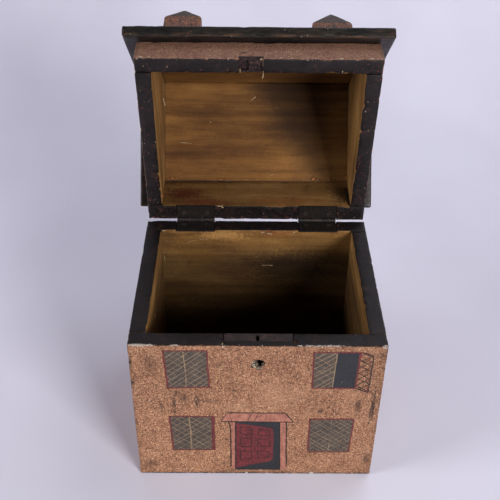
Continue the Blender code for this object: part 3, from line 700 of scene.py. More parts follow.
def loop_prism(name, outline, y0, y1, matrix=None):
    """A cutter: closed outline of (x, z) points carried from y0 to y1."""
    n = len(outline)
    verts = [(x, y0, z) for x, z in outline] + [(x, y1, z) for x, z in outline]
    faces = [list(range(n)), list(range(2 * n - 1, n - 1, -1))]
    for i in range(n):
        j = (i + 1) % n
        faces.append([i, i + n, j + n, j])
    obj = mesh_object(name, verts, faces, blank, smooth=False, matrix=matrix)
    bm = bmesh.new()
    bm.from_mesh(obj.data)
    bmesh.ops.recalc_face_normals(bm, faces=bm.faces)
    bm.to_mesh(obj.data)
    bm.free()
    return obj


blank = bpy.data.materials.new("cutter")


def settle(obj, body, *replaced, slot=None):
    """Puts a finished piece on its body and, where it stands for CAD nodes, hides them."""
    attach(obj, body)
    if replaced:
        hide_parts(*replaced)
    return obj


# ------------------------------------------------------------------ paint laid on a flat face
class Paint:
    """Thin raised paint on a plane: polygons and brush strokes, all in one closed-sided mesh."""

    def __init__(self, name, material, origin, ex, ey, out, body, slot, matrix=None):
        self.name, self.material, self.body, self.slot, self.matrix = name, material, body, slot, matrix
        self.o, self.ex, self.ey, self.out = (np.array(v, float) for v in (origin, ex, ey, out))
        self.verts, self.faces, self.count = [], [], 0

    def lift(self, pts, h):
        pts = np.asarray(pts, float)
        return self.o + pts[:, :1] * self.ex + pts[:, 1:] * self.ey + self.out * h

    def prism(self, outline, h, deep=0.14):
        n = len(outline)
        self.verts += list(self.lift(outline, h)) + list(self.lift(outline, -deep))
        c = self.count
        self.faces.append([c + i for i in range(n)])
        self.faces.append([c + n + i for i in range(n - 1, -1, -1)])
        for i in range(n):
            j = (i + 1) % n
            self.faces.append([c + i, c + n + i, c + n + j, c + j])
        self.count += 2 * n

    def poly(self, corners, h, wobble=0.12, seed=0, step=1.3):
        out = []
        corners = [np.array(c, float) for c in corners]
        for a, b in zip(corners, corners[1:] + corners[:1]):
            m = max(1, int(np.linalg.norm(b - a) / step))
            out += [a + (b - a) * t / m for t in range(m)]
        out = np.array(out)
        area = 0.5 * np.sum(out[:, 0] * np.roll(out[:, 1], -1) - np.roll(out[:, 0], -1) * out[:, 1])
        if area < 0:
            out = out[::-1]
        at = np.column_stack([out, np.full(len(out), seed * 3.7)])
        out = out + wobble * np.stack([noise(at, 2.1, 40 + seed), noise(at, 2.1, 90 + seed)], 1)
        self.prism(out, h)

    def stroke(self, pts, w, h, wobble=0.1, seed=0, rag=0.28, gaps=0.0, step=0.7, taper=True):
        pts = np.array(pts, float)
        seg = np.linalg.norm(np.diff(pts, axis=0), axis=1)
        total = seg.sum()
        n = max(2, int(total / step))
        s = np.concatenate([[0], np.cumsum(seg)])
        t = np.linspace(0, total, n + 1)
        line = np.stack([np.interp(t, s, pts[:, 0]), np.interp(t, s, pts[:, 1])], 1)
        tangent = np.gradient(line, axis=0)
        tangent /= np.maximum(np.linalg.norm(tangent, axis=1), 1e-9)[:, None]
        side = np.stack([-tangent[:, 1], tangent[:, 0]], 1)
        at = np.column_stack([line, np.full(len(line), seed * 5.3)])
        line = line + side * (wobble * noise(at, 4.0, 17 + seed))[:, None]
        width = w * (1 + rag * noise(at, 1.5, 31 + seed) + 0.5 * rag * noise(at, 5.0, 37 + seed))
        if taper:
            width *= np.clip(np.minimum(t, total - t) / max(w, 0.3) + 0.45, 0, 1)
        keep = np.ones(len(line), bool)
        if gaps > 0:
            keep = (0.5 + 0.5 * noise(at, 1.8, 55 + seed)) > gaps
        start = None
        for i in range(len(line) + 1):
            if i < len(line) and keep[i]:
                if start is None:
                    start = i
                continue
            if start is not None and i - start >= 2:
                a = line[start:i] - side[start:i] * width[start:i, None] / 2
                b = line[start:i] + side[start:i] * width[start:i, None] / 2
                self.ribbon(a, b, h)
            start = None

    def ribbon(self, a, b, h, deep=0.14):
        n = len(a)
        c = self.count
        self.verts += list(self.lift(a, h)) + list(self.lift(b, h)) + list(self.lift(a, -deep)) + list(self.lift(b, -deep))
        for i in range(n - 1):
            self.faces.append([c + i, c + i + 1, c + n + i + 1, c + n + i])
            self.faces.append([c + 2 * n + i, c + 3 * n + i, c + 3 * n + i + 1, c + 2 * n + i + 1])
            self.faces.append([c + i, c + 2 * n + i, c + 2 * n + i + 1, c + i + 1])
            self.faces.append([c + n + i, c + n + i + 1, c + 3 * n + i + 1, c + 3 * n + i])
        self.faces.append([c, c + n, c + 3 * n, c + 2 * n])
        self.faces.append([c + n - 1, c + 3 * n - 1, c + 4 * n - 1, c + 2 * n - 1])
        self.count += 4 * n

    def build(self):
        if not self.verts:
            return None
        obj = mesh_object(self.name, self.verts, self.faces, self.material, smooth=False, matrix=self.matrix)
        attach(obj, self.body)
        return obj


def clip_to(quad, point, direction):
    """The part of a line that lies in a convex quad, or None."""
    quad = [np.array(q, float) for q in quad]
    middle = sum(quad) / len(quad)
    t0, t1 = -1e9, 1e9
    for a, b in zip(quad, quad[1:] + quad[:1]):
        e = b - a
        nrm = np.array([-e[1], e[0]])
        if np.dot(nrm, middle - a) < 0:
            nrm = -nrm
        den, num = np.dot(nrm, direction), np.dot(nrm, a - point)
        if abs(den) < 1e-9:
            if num > 0:
                return None
            continue
        t = num / den
        if den > 0:
            t0 = max(t0, t)
        else:
            t1 = min(t1, t)
    if t1 - t0 < 0.8:
        return None
    return point + direction * t0, point + direction * t1


# ------------------------------------------------------------------ materials in use
mat_case_x = wall_material("case_board_front", HALF_W, HALF_D, RIM, 1, "x")
mat_case_back = wall_material(
    "case_board_back", HALF_W, HALF_D, RIM, 1, "x", case=False,
    light=(1.0, 0.40),
    blots=(
        ((14, 50.3, 108.0), (15, 4, 3.6), 0.55, (122, 76, 50)),
        ((9, 50.3, 109.2), (6, 4, 1.8), 0.7, (80, 44, 30)),
        ((-38, 50.3, 88.0), (20, 4, 9), 0.4, (128, 92, 40)),
        ((40, 50.3, 101.0), (22, 4, 7), 0.3, (96, 78, 44)),
        ((0, 50.3, 20.0), (70, 8, 50), 0.45, (60, 44, 26)),
        # painted light along the top of the back wall
        ((-22, 50.3, 106.5), (22, 4, 5), 0.5, (182, 146, 98)),
        # painted shade in the top left corner
        ((-61, 50.3, 104.0), (12, 4, 11), 0.5, (48, 32, 18)),
        # painted shadow cast by the right-hand board
        ((24, 50.3, 80.0), (38, 4, 19), 0.62, (22, 13, 7)),
    ),
)
mat_case_y = wall_material("case_board_side", HALF_W, HALF_D, RIM, 1, "y", case=False, light=(0.80, 0.48))
mat_lid_front = wall_material("lid_board_front", LID_HALF, HALF_D, LID_RIM, -1, "x", pink=0.45, case=False)
mat_lid_x = wall_material(
    "lid_board_back", LID_HALF, HALF_D, LID_RIM, -1, "x", case=False, light=(0.66, 0.60),
    blots=(
        ((-48, 50.4, 124.0), (17, 4, 9), 0.85, (84, 34, 16)),
        ((-34, 50.4, 115.5), (24, 4, 5), 0.75, (92, 42, 20)),
        ((20, 50.4, 117.0), (34, 4, 5), 0.45, (124, 72, 36)),
        ((58, 50.4, 124.0), (10, 4, 12), 0.8, (44, 24, 12)),
    ),
)
mat_lid_y = wall_material("lid_board_gable", LID_HALF, HALF_D, LID_RIM, -1, "y", case=False, light=(0.84, 0.84))
mat_roof_front = roof_material("roof_paint_front", True)
mat_roof_back = roof_material("roof_paint_back", False)
mat_iron = iron_material("hinge_iron", base=(36, 31, 30), rust=(58, 38, 28))
mat_screw = iron_material("screw_iron", base=(74, 66, 61), rust=(96, 66, 46), metallic=0.8)
mat_lock = iron_material("lock_iron", base=(46, 35, 35), rust=(76, 42, 35), metallic=0.35)

# ------------------------------------------------------------------ case boards
SIDE_Y0, SIDE_Y1 = -49.35, 50.15

front = board(
    "front_board", (-HALF_W, -HALF_D, 0), (HALF_W, -49.5, RIM), mat_case_x, "case", seed=11, wave=0.02, chip=0.6, steps=(1.5, 2.2, 1.5)
)


def lip(q, p):
    """The back board stands a little proud under the hinges."""
    out = np.array(q, float)
    out[:, 1] += 0.6 * np.clip((out[:, 2] - 103.0) / 3.0, 0, 1) * np.clip((out[:, 1] - 52.0) / 6.0, 0, 1)
    return out


back_b = board("back_board", (-HALF_W, 50.3, 0), (HALF_W, 60.3, RIM), mat_case_back, "case", r=0.5, seed=23, wave=0.02, chip=0.6, shape=lip, steps=(1.8, 2.2, 1.8))
left_b = board("left_board", (-HALF_W, SIDE_Y0, 0), (-62.8, SIDE_Y1, RIM), mat_case_y, "case", r=0.6, seed=31, wave=0.02, chip=0.7, steps=(2.2, 1.7, 1.8))
right_b = board("right_board", (62.8, SIDE_Y0, 0), (HALF_W, SIDE_Y1, RIM), mat_case_y, "case", r=0.6, seed=47, wave=0.02, chip=0.7, steps=(2.2, 1.7, 1.8))

# keyhole: a ragged round hole with its slot, in a chipped crater
key_x, key_z = 1.4, 98.0
ring = []
for i in range(28):
    a = 2 * math.pi * i / 28
    r = 2.0 + 0.2 * float(noise(np.array([[math.cos(a) * 2, math.sin(a) * 2, 0.0]]), 1.1, 5)[0])
    ring.append((key_x + math.cos(a) * r, key_z + math.sin(a) * r))
hole = loop_prism("keyhole_cut", ring, -63.0, -47.0)
slot_cut = rough_box("keyhole_slot_cut", (key_x - 1.15, -63.0, 94.5), (key_x + 1.1, -47.0, key_z - 0.4), 17, 0.13, step=0.9)
crater_pts, crater_faces = grid_box(np.linspace(-4.6, 4.6, 15), np.linspace(-1.5, 0.5, 3), np.linspace(-5.0, 4.2, 15))
direction = crater_pts / np.maximum(np.abs(crater_pts) / np.array([4.6, 1.5, 5.0]), 1e-9).max(axis=1)[:, None]
radius = np.linalg.norm(crater_pts * np.array([1 / 4.6, 0, 1 / 4.8]), axis=1)
unit = crater_pts * np.array([1 / 4.6, 0, 1 / 4.8])
unit = unit / np.maximum(np.linalg.norm(unit, axis=1), 1e-6)[:, None]
square = np.abs(crater_pts[:, [0, 2]] / np.array([4.6, 4.8])).max(axis=1)
wob = 1 + 0.22 * noise(unit * 3, 1.3, 71) + 0.12 * noise(unit * 3, 0.6, 72)
crater = np.zeros_like(crater_pts)
crater[:, 0] = 0.1 + unit[:, 0] * square * 3.9 * wob
crater[:, 2] = 96.9 + unit[:, 2] * square * 4.1 * wob
crater[:, 1] = np.where(crater_pts[:, 1] > 0.2, -59.35 + 0.18 * noise(crater, 1.1, 75), np.where(crater_pts[:, 1] < -1.2, -62.0, -60.4))
crater_cut = mesh_object("crater_cut", crater, crater_faces, blank, smooth=False)
# lock mortise
cap_low, cap_high = mm_box("lock_cap")
plate_x0, plate_x1 = lock_low[0] - 0.3, lock_high[0] + 0.3
cuts = [
    rough_box("plate_seat", (plate_x0, -51.0, lock_low[2] - 0.3), (plate_x1, -46.0, 114.0), 3, 0.05),
    rough_box("cap_seat", (cap_low[0] - 0.3, cap_low[1] - 0.3, cap_low[2] - 0.3), (cap_high[0] + 0.3, -46.0, 114.0), 7, 0.05),
    rough_box("selvedge_seat", (plate_x0 - 0.3, -56.5, lock_high[2] - 1.5), (plate_x1 + 0.2, -46.0, 114.0), 5, 0.14, step=1.0),
    # the tear at the seat's right end and the sliver split off at its left end
    rough_box("right_tear", (plate_x1 - 0.8, -58.7, RIM - 0.8), (plate_x1 + 2.4, -55.2, 114.0), 12, 0.35, step=0.8),
    rough_box("left_chip", (plate_x0 - 0.9, -61.5, RIM - 0.7), (plate_x0 + 1.2, -57.0, 114.0), 9, 0.3, step=0.7),
    hole,
    slot_cut,
    crater_cut,
]
for i, c in enumerate(cuts):
    c.name = f"front_cut_{i}"
cut(front, cuts)
settle(front, "case", "front_wall")

hinge_seats = []
for side in ("left", "right"):
    lo, hi = mm_box(f"hinge_{side}_lower_leaf")
    hinge_seats.append(rough_box(f"seat_{side}", (lo[0] - 0.35, 48.0, RIM - 1.35), (hi[0] + 0.35, 63.0, 114.0), 21, 0.10, step=1.0))
cut(back_b, hinge_seats)
settle(back_b, "case", "back_wall")
settle(left_b, "case", "left_wall")
settle(right_b, "case", "right_wall")


# ------------------------------------------------------------------ lid boards, modelled shut
def under_roof(y):
    return RIM_Z + EAVE_Z + (HALF_D - np.abs(y)) * TAN - 0.33


def slanted(base_top):
    """Stretches the board's height so that its top follows the slope of the roof."""

    def shape(q, p):
        out = q.copy()
        out[:, 2] = LID_RIM + (q[:, 2] - LID_RIM) * (under_roof(q[:, 1]) - LID_RIM) / (base_top - LID_RIM)
        return out

    return shape


top_wall = float(under_roof(HALF_D))
lid_front = board(
    "lid_front_board", (-LID_HALF, -HALF_D, LID_RIM), (LID_HALF, -50.4, top_wall), mat_lid_front, "lid", r=0.9, seed=61, wave=0.05, chip=0.75,
    bias=0.15, shape=slanted(top_wall), matrix=LID_TURN, steps=(1.5, 1.8, 1.5),
)
lid_back = board(
    "lid_back_board", (-LID_HALF, 50.4, LID_RIM), (LID_HALF, 61.75, top_wall), mat_lid_x, "lid", r=0.45, seed=67, wave=0.05, chip=0.7,
    bias=0.2, shape=slanted(top_wall), matrix=LID_TURN, steps=(1.6, 1.8, 1.6),
)
top_gable = float(under_roof(50.1))
gables = {}
for side, x0, x1, seed in (("left", -LID_HALF, -62.2, 71), ("right", 62.2, LID_HALF, 83)):
    gables[side] = board(
        f"lid_{side}_gable_board", (x0, -50.1, LID_RIM), (x1, 50.1, top_gable), mat_lid_y, "lid", r=0.6, seed=seed, wave=0.05, chip=0.7,
        bias=0.2, shape=slanted(top_gable), matrix=LID_TURN, extra=((), (0.0,), ()), steps=(2.0, 1.7, 1.7),
    )

hook = rough_box("hook_cut", (-11.6, -64.0, LID_RIM - 4), (2.4, -45.0, LID_RIM + 1.5), 91, 0.34, step=0.9, matrix=LID_TURN)
hook2 = rough_box("hook_cut2", (-11.2, -58.6, LID_RIM - 3), (-6.0, -52.0, LID_RIM + 2.6), 95, 0.5, step=0.8, matrix=LID_TURN)
hook3 = rough_box("hook_cut3", (-2.6, -56.5, LID_RIM - 3), (1.4, -51.4, LID_RIM + 2.1), 99, 0.4, step=0.8, matrix=LID_TURN)
cut(lid_front, [hook, hook2, hook3])
lid_seats = []
for side in ("left", "right"):
    mid = {"left": -40.25, "right": 40.75}[side]
    lid_seats.append(
        rough_box(f"lid_seat_{side}", (mid - 12.85, 47.0, LID_RIM - 3), (mid + 12.85, 63.0, LID_RIM + 1.35), 101, 0.10, step=1.0, matrix=LID_TURN)
    )
cut(lid_back, lid_seats)
settle(lid_front, "lid", "lid_front_wall")
settle(lid_back, "lid", "lid_back_wall")
settle(gables["left"], "lid", "lid_left_gable")
settle(gables["right"], "lid", "lid_right_gable")


def roof_shape(side, overhang):
    low_y, low_z = HALF_D + overhang * COS, RIM_Z + EAVE_Z - overhang * SIN
    u0 = (low_y - 0.15) / COS

    def shape(q, p):
        u = q[:, 1] * (u0 + q[:, 2] * TAN) / u0
        v = q[:, 2]
        y = -low_y + u * COS - v * SIN
        z = low_z + u * SIN + v * COS
        return np.stack([q[:, 0], -side * y, z], 1)

    return shape, u0


for side, overhang, name, node, material, seed in (
    (-1, EAVE_FRONT, "front_slope", "roof_front_board", mat_roof_front, 111),
    (1, EAVE_BACK, "back_slope", "roof_back_board", mat_roof_back, 127),
):
    shape, u0 = roof_shape(side, overhang)
    slope = board(
        name, (-ROOF_X, 0, 0), (ROOF_X, u0, ROOF_T), material, "lid", r=1.1, seed=seed, wave=0.07, chip=0.6, bias=0.22, shape=shape,
        matrix=LID_TURN, steps=(1.8, 1.8, 1.5),
    )
    bm = bmesh.new()
    bm.from_mesh(slope.data)
    bmesh.ops.recalc_face_normals(bm, faces=bm.faces)
    bm.to_mesh(slope.data)
    bm.free()
    settle(slope, "lid", node)

# ------------------------------------------------------------------ dormers
eave_y = -(HALF_D + EAVE_FRONT * COS + ROOF_T * SIN)
eave_top = RIM_Z + EAVE_Z - EAVE_FRONT * SIN + ROOF_T * COS
face_y = eave_y + 4.35 * COS
face_z = eave_top + 4.35 * SIN


def dormer_material(name, mid_x, width, wall_h, rise, chevrons):
    """Daubed brown lower face, dark gable with a drawn outline, dark slopes."""
    n = Look(name)
    dx = n.size(n.add(n.x, -mid_x))
    up = n.add(n.z, -(face_z + wall_h))
    # distance below the sloping edge of the gable, measured upright
    under = n.math("SUBTRACT", n.math("SUBTRACT", rise, n.mul(dx, rise / (width / 2))), up)
    worm = n.noise(1.5, 3.0, 0.6, twist=1.4)
    small = n.noise(0.5, 2.0, 0.6, offset=(5, 2, 2))
    tone = n.add(n.mul(worm, 0.6), n.mul(small, 0.4))
    brown = n.ramp(tone, (0.39, linear(28, 16, 10)), (0.47, linear(78, 43, 23)), (0.55, linear(130, 76, 40)), (0.66, linear(176, 118, 68)))
    strokes = n.noise(1.4, 3.0, 0.6, stretch=(1, 1, 0.3), offset=(2, 2, 5), twist=1.0)
    brown = n.mix(n.mul(n.step(strokes, 0.55, 0.60), 0.95), brown, linear(34, 22, 18))
    grey = n.ramp(tone, (0.38, linear(30, 23, 20)), (0.50, linear(56, 44, 36)), (0.64, linear(88, 70, 56)))
    in_gable = n.step(n.add(up, n.mul(n.add(worm, -0.5), 0.7)), -0.5, 0.1)
    face = n.mix(in_gable, brown, grey)
    if chevrons:
        saw = n.math("FRACT", n.mul(under, 1 / 2.5))
        lines = n.mul(n.step(n.size(n.add(saw, -0.5)), 0.16, 0.05), in_gable)
        face = n.mix(n.mul(lines, 0.75), face, linear(40, 26, 24))
    outline = n.step(n.add(under, n.mul(n.add(small, -0.5), 0.8)), 1.5, 0.8)
    face = n.mix(outline, face, linear(18, 15, 15))
    base_line = n.mul(n.step(n.size(n.add(up, 0.1)), 0.5, 0.2), n.step(small, 0.42, 0.5))
    face = n.mix(n.mul(base_line, 0.7), face, linear(34, 24, 22))
    front_face = n.step(n.y, face_y + 0.9, face_y + 0.5)
    roof = n.ramp(tone, (0.38, linear(22, 19, 18)), (0.50, linear(36, 30, 27)), (0.66, linear(64, 48, 38)))
    sides = n.mix(n.step(under, 0.9, 1.3), roof, brown)
    colour = n.mix(front_face, sides, face)
    return n.finish(colour, n.lerp(n.step(tone, 0.4, 0.6), 0.66, 0.5), n.add(tone, n.mul(small, 0.4)), 0.25, specular=0.4)


for node, (mid_x, width, wall_h, rise, seed) in {
    "dormer_left": (-45.1, 22.2, 14.7, 8.5, 141),
    "dormer_right": (43.2, 23.8, 8.8, 12.1, 157),
}.items():
    depth = (wall_h + rise) / TAN
    lean = 0.8 if node.endswith("left") else 0.0

    def shape(q, p, mid_x=mid_x, width=width, wall_h=wall_h, rise=rise, depth=depth, lean=lean):
        t = np.clip(q[:, 2] / (wall_h + 1.0), -0.05, 1.02)
        across = np.clip(np.abs(q[:, 0] - lean * t) / (width / 2 - lean * np.sign(q[:, 0])), 0, 1)
        top = wall_h + rise * (1 - across) - 0.35 * np.exp(-((across / 0.05) ** 2))
        ground = q[:, 1] * TAN - 1.0
        z = ground + t * np.maximum(top - ground, 0.02)
        return np.stack([mid_x + q[:, 0], face_y + q[:, 1], face_z + z], 1)

    look = dormer_material(node + "_paint", mid_x, width, wall_h, rise, node.endswith("right"))
    piece = board(
        node + "_block", (-width / 2, 0, 0), (width / 2, depth, wall_h + 1.0), look, "lid", r=1.3, step=1.1, seed=seed, wave=0.10,
        chip=0.7, bias=0.2, shape=shape, matrix=LID_TURN, extra=((0.0,), (), ()),
    )
    settle(piece, "lid", node)

# ------------------------------------------------------------------ iron work keeps its CAD shape
for name, obj in nodes.items():
    if name.startswith("hinge"):
        look = mat_screw if "screw" in name else mat_iron
    elif name.startswith("lock"):
        look = mat_screw if "screw" in name else mat_lock
    elif name.startswith("nail"):
        look = mat_screw
    elif name == "bottom_board":
        look = mat_case_x
    else:
        continue
    obj.data.materials.clear()
    obj.data.materials.append(look)

# ------------------------------------------------------------------ the painted front
paint_pane = flat_paint("pane_grey", (44, 38, 33), (66, 58, 51), (88, 78, 67), 1.3, grain=0.8)
paint_pane_dark = flat_paint("pane_blue_black", (17, 19, 22), (28, 30, 34), (42, 42, 46), 1.0, grain=0.7)
paint_red = flat_paint("frame_red", (62, 18, 22), (92, 32, 33), (116, 52, 46), 0.9, worn=0.2, under=(130, 94, 72))
paint_tan = flat_paint("lattice_tan", (96, 78, 60), (132, 109, 84), (164, 138, 108), 0.9, worn=0.2, under=(72, 62, 54))
paint_black = flat_paint("line_black", (9, 6, 5), (20, 13, 11), (36, 24, 19), 0.9, worn=0.06, under=(120, 86, 66))
paint_door = flat_paint("door_red", (58, 17, 21), (92, 29, 32), (122, 46, 46), 1.1, worn=0.16, under=(44, 18, 20))
paint_pink = flat_paint("post_pink", (92, 50, 42), (152, 96, 78), (196, 142, 120), 0.6, worn=0.25, under=(82, 38, 36))
paint_white = flat_paint("white_ground", (130, 116, 102), (176, 166, 154), (214, 208, 198), 0.7)

FRONT = dict(origin=(0, -60, 0), ex=(1, 0, 0), ey=(0, 0, 1), out=(0, -1, 0), body="case", slot="front_wall")


def window(layers, corners, mullion, lattice, seed, frame_w=(1.0, 1.0, 1.0, 1.0), dark_from=None, mull_w=0.55, mull_gap=0.0):
    """corners: top left, top right, bottom right, bottom left."""
    tl, tr, br, bl = (np.array(c, float) for c in corners)
    layers["pane"].poly([tl, tr, br, bl], 0.05, 0.1, seed)
    inset = [tl + (0.4, -0.4), tr + (-0.4, -0.4), br + (-0.4, 0.4), bl + (0.4, 0.4)]
    clip = list(inset)
    if dark_from is not None:
        top = tl + (tr - tl) * (dark_from[0] - tl[0]) / (tr[0] - tl[0])
        bot = bl + (br - bl) * (dark_from[1] - bl[0]) / (br[0] - bl[0])
        layers["dark"].poly([top, tr, br, bot], 0.07, 0.1, seed + 1)
        clip = [inset[0], top, bot, inset[3]]
        layers["tan"].stroke([top + (0, -0.5), bot + (0, 0.5)], 0.5, 0.10, 0.1, seed + 5, gaps=0.2)
        for k in range(3):
            layers["tan"].stroke([bot + (4 + 3 * k, 4 + k), bot + (6.2 + 3 * k, 6.2 + k)], 0.22, 0.09, 0.1, seed + 60 + k, gaps=0.5)
    else:
        m0, m1 = np.array([mullion[0], tl[1] - 0.6]), np.array([mullion[1], bl[1] + 0.6])
        layers["tan"].stroke([m0, (m0 + m1) / 2 + (0.35, 0), m1], mull_w, 0.11, 0.18, seed + 6, gaps=mull_gap)
    k = 0
    for angle, gap, width, gaps in lattice:
        d = np.array([math.cos(math.radians(angle)), math.sin(math.radians(angle))])
        nrm = np.array([-d[1], d[0]])
        mid = (tl + br) / 2
        reach = 26
        off = -reach + rand(seed * 7 + k) * gap
        while off < reach:
            k += 1
            jitter = (rand(seed * 31 + k) - 0.5) * gap * 0.35
            tilt = math.radians((rand(seed * 17 + k) - 0.5) * 5)
            dd = np.array([d[0] * math.cos(tilt) - d[1] * math.sin(tilt), d[0] * math.sin(tilt) + d[1] * math.cos(tilt)])
            got = clip_to(clip, mid + nrm * (off + jitter), dd)
            if got is not None:
                fade = rand(seed * 13 + k)
                layers["tan"].stroke(got, width * (0.7 + 0.6 * fade), 0.085, 0.12, seed * 3 + k, rag=0.4, gaps=gaps * (0.5 + fade))
            off += gap
    for (a, b), w, s in zip(((tl, tr), (tr, br), (br, bl), (bl, tl)), frame_w, (11, 12, 13, 14)):
        d = (b - a) / np.linalg.norm(b - a)
        layers["red"].stroke([a - d * 0.35, b + d * 0.35], w, 0.10 + 0.004 * (s % 3), 0.12, seed + s, rag=0.3, taper=False)


layers = {
    "pane": Paint("front_window_panes", paint_pane, **FRONT),
    "dark": Paint("front_open_pane", paint_pane_dark, **FRONT),
    "tan": Paint("front_window_lattice", paint_tan, **FRONT),
    "red": Paint("front_window_frames", paint_red, **FRONT),
    "black": Paint("front_black_lines", paint_black, **FRONT),
    "door": Paint("front_door", paint_door, **FRONT),
    "pink": Paint("front_door_surround", paint_pink, **FRONT),
    "white": Paint("front_white_chips", paint_white, **FRONT),
}
window(
    layers, ((-52.7, 106.7), (-28.4, 106.9), (-27.6, 78.1), (-51.3, 77.4)), (-41.6, -40.6),
    ((41, 3.0, 0.36, 0.06), (-40, 3.6, 0.25, 0.26)), 3, (0.8, 1.0, 0.9, 1.1), mull_gap=0.10,
)
window(
    layers, ((31.4, 105.9), (57.4, 106.2), (56.5, 77.8), (31.7, 77.7)), None,
    ((38, 2.9, 0.32, 0.08), (-38, 4.0, 0.22, 0.35)), 5, (1.0, 1.1, 0.9, 0.9), dark_from=(44.4, 43.4),
)
window(
    layers, ((-51.5, 53.3), (-25.8, 53.1), (-25.9, 23.2), (-50.6, 22.9)), (-40.0, -39.4),
    ((40, 3.3, 0.30, 0.08), (-38, 3.7, 0.28, 0.14)), 7, (0.9, 2.1, 0.8, 1.1), mull_w=0.8,
)
window(
    layers, ((31.9, 51.3), (58.1, 51.5), (57.2, 21.8), (32.0, 21.8)), (44.9, 44.6),
    ((-38, 3.0, 0.30, 0.16), (40, 3.2, 0.24, 0.28)), 9, (1.0, 1.0, 0.8, 1.0), mull_w=0.4, mull_gap=0.5,
)
# casement standing open, drawn in black
flap = [(57.9, 106.2), (64.9, 103.4), (64.3, 74.4), (56.8, 77.6)]
ink = layers["black"]
for a, b, w in ((0, 1, 0.6), (1, 2, 0.55), (2, 3, 0.6)):
    ink.stroke([flap[a], flap[b]], w, 0.10, 0.15, 200 + a)
ink.stroke([flap[2], (63.6, 73.9)], 0.6, 0.10, 0.05, 205)
k = 0
for angle, gap in ((38, 3.6), (-34, 4.4)):
    d = np.array([math.cos(math.radians(angle)), math.sin(math.radians(angle))])
    nrm = np.array([-d[1], d[0]])
    off = -24.0
    while off < 24:
        k += 1
        got = clip_to(flap, np.array([60.9, 90.5]) + nrm * (off + (rand(400 + k) - 0.5) * 1.2), d)
        if got is not None:
            ink.stroke(got, 0.34 + 0.2 * rand(430 + k), 0.09, 0.2, 440 + k, rag=0.45, gaps=0.12)
        off += gap
layers["red"].stroke([(63.9, 79.5), (63.5, 74.2)], 0.6, 0.11, 0.1, 470)

# door
pink, door, dark = layers["pink"], layers["door"], layers["dark"]
pink.poly([(-17.6, 56.4), (16.7, 56.2), (22.0, 48.5), (-21.0, 48.9)], 0.05, 0.12, 501)
pink.poly([(-15.2, 48.7), (-12.5, 48.7), (-12.4, 4.9), (-15.1, 4.7)], 0.05, 0.1, 503)
pink.poly([(14.0, 48.5), (18.0, 48.5), (19.2, 4.7), (15.4, 4.6)], 0.05, 0.12, 505)
dark.poly([(-12.5, 48.6), (14.1, 48.5), (15.5, 4.5), (-12.4, 4.7)], 0.055, 0.1, 507)
door.poly([(-12.2, 47.7), (9.9, 42.9), (10.7, 38.0), (10.6, 14.3), (8.8, 12.6), (-12.2, 6.0)], 0.075, 0.14, 509)
ink.stroke([(-17.6, 56.6), (16.9, 56.4)], 0.7, 0.10, 0.12, 520)
ink.stroke([(-21.1, 48.9), (22.4, 48.5)], 0.75, 0.10, 0.12, 521)
ink.stroke([(16.9, 56.4), (22.4, 48.7)], 0.6, 0.10, 0.12, 522)
ink.stroke([(-17.4, 56.4), (-21.1, 49.0)], 0.3, 0.10, 0.12, 523, gaps=0.2)
ink.stroke([(-15.3, 56.0), (-14.7, 49.2)], 0.3, 0.095, 0.12, 524, gaps=0.25)
ink.stroke([(-3.3, 55.4), (-5.2, 49.2)], 0.4, 0.095, 0.15, 525, gaps=0.1)
ink.stroke([(0.9, 55.2), (-1.1, 49.4)], 0.35, 0.095, 0.15, 526, gaps=0.15)
ink.stroke([(6.5, 55.6), (5.0, 49.6)], 0.28, 0.095, 0.15, 527, gaps=0.4)
ink.stroke([(11.0, 55.6), (10.4, 49.4)], 0.28, 0.095, 0.15, 528, gaps=0.45)
ink.stroke([(-16.6, 48.4), (-15.75, 45.8), (-15.35, 41.0), (-15.3, 25.0), (-15.2, 7.2)], 0.75, 0.10, 0.08, 529)
ink.stroke([(-12.4, 48.6), (-12.3, 5.0)], 0.7, 0.105, 0.08, 530)
ink.stroke([(14.1, 48.4), (15.4, 4.8)], 0.55, 0.10, 0.10, 531)
ink.stroke([(18.1, 48.4), (18.7, 25.0), (19.3, 7.0)], 0.75, 0.10, 0.12, 532)
ink.stroke([(-15.2, 4.5), (-9.0, 4.5), (15.6, 4.3)], 0.5, 0.10, 0.12, 533, gaps=0.1)
ink.stroke([(14.2, 7.5), (15.6, 6.1)], 0.5, 0.10, 0.12, 534)
for col, (xa, xb) in enumerate(((-9.5, -2.6), (1.2, 8.4))):
    for row, (za, zb) in enumerate(((45.2, 37.8), (34.6, 26.2), (22.2, 13.8))):
        lean = lambda x: (x + 12.2) / 22.0  # the leaf is drawn foreshortened
        top_l = (xa, za - lean(xa) * (4.4, 2.4, 0.2)[row])
        top_r = (xb, za - lean(xb) * (4.4, 2.4, 0.2)[row])
        bot_l = (xa, zb - lean(xa) * (1.6, -0.6, -2.6)[row])
        bot_r = (xb, zb - lean(xb) * (1.6, -0.6, -2.6)[row])
        s = 540 + col * 30 + row * 5
        for m, (a, b) in enumerate(((top_l, top_r), (top_r, bot_r), (bot_r, bot_l), (bot_l, top_l))):
            ink.stroke([a, b], 0.55, 0.095, 0.14, s + m, rag=0.4, gaps=0.12)
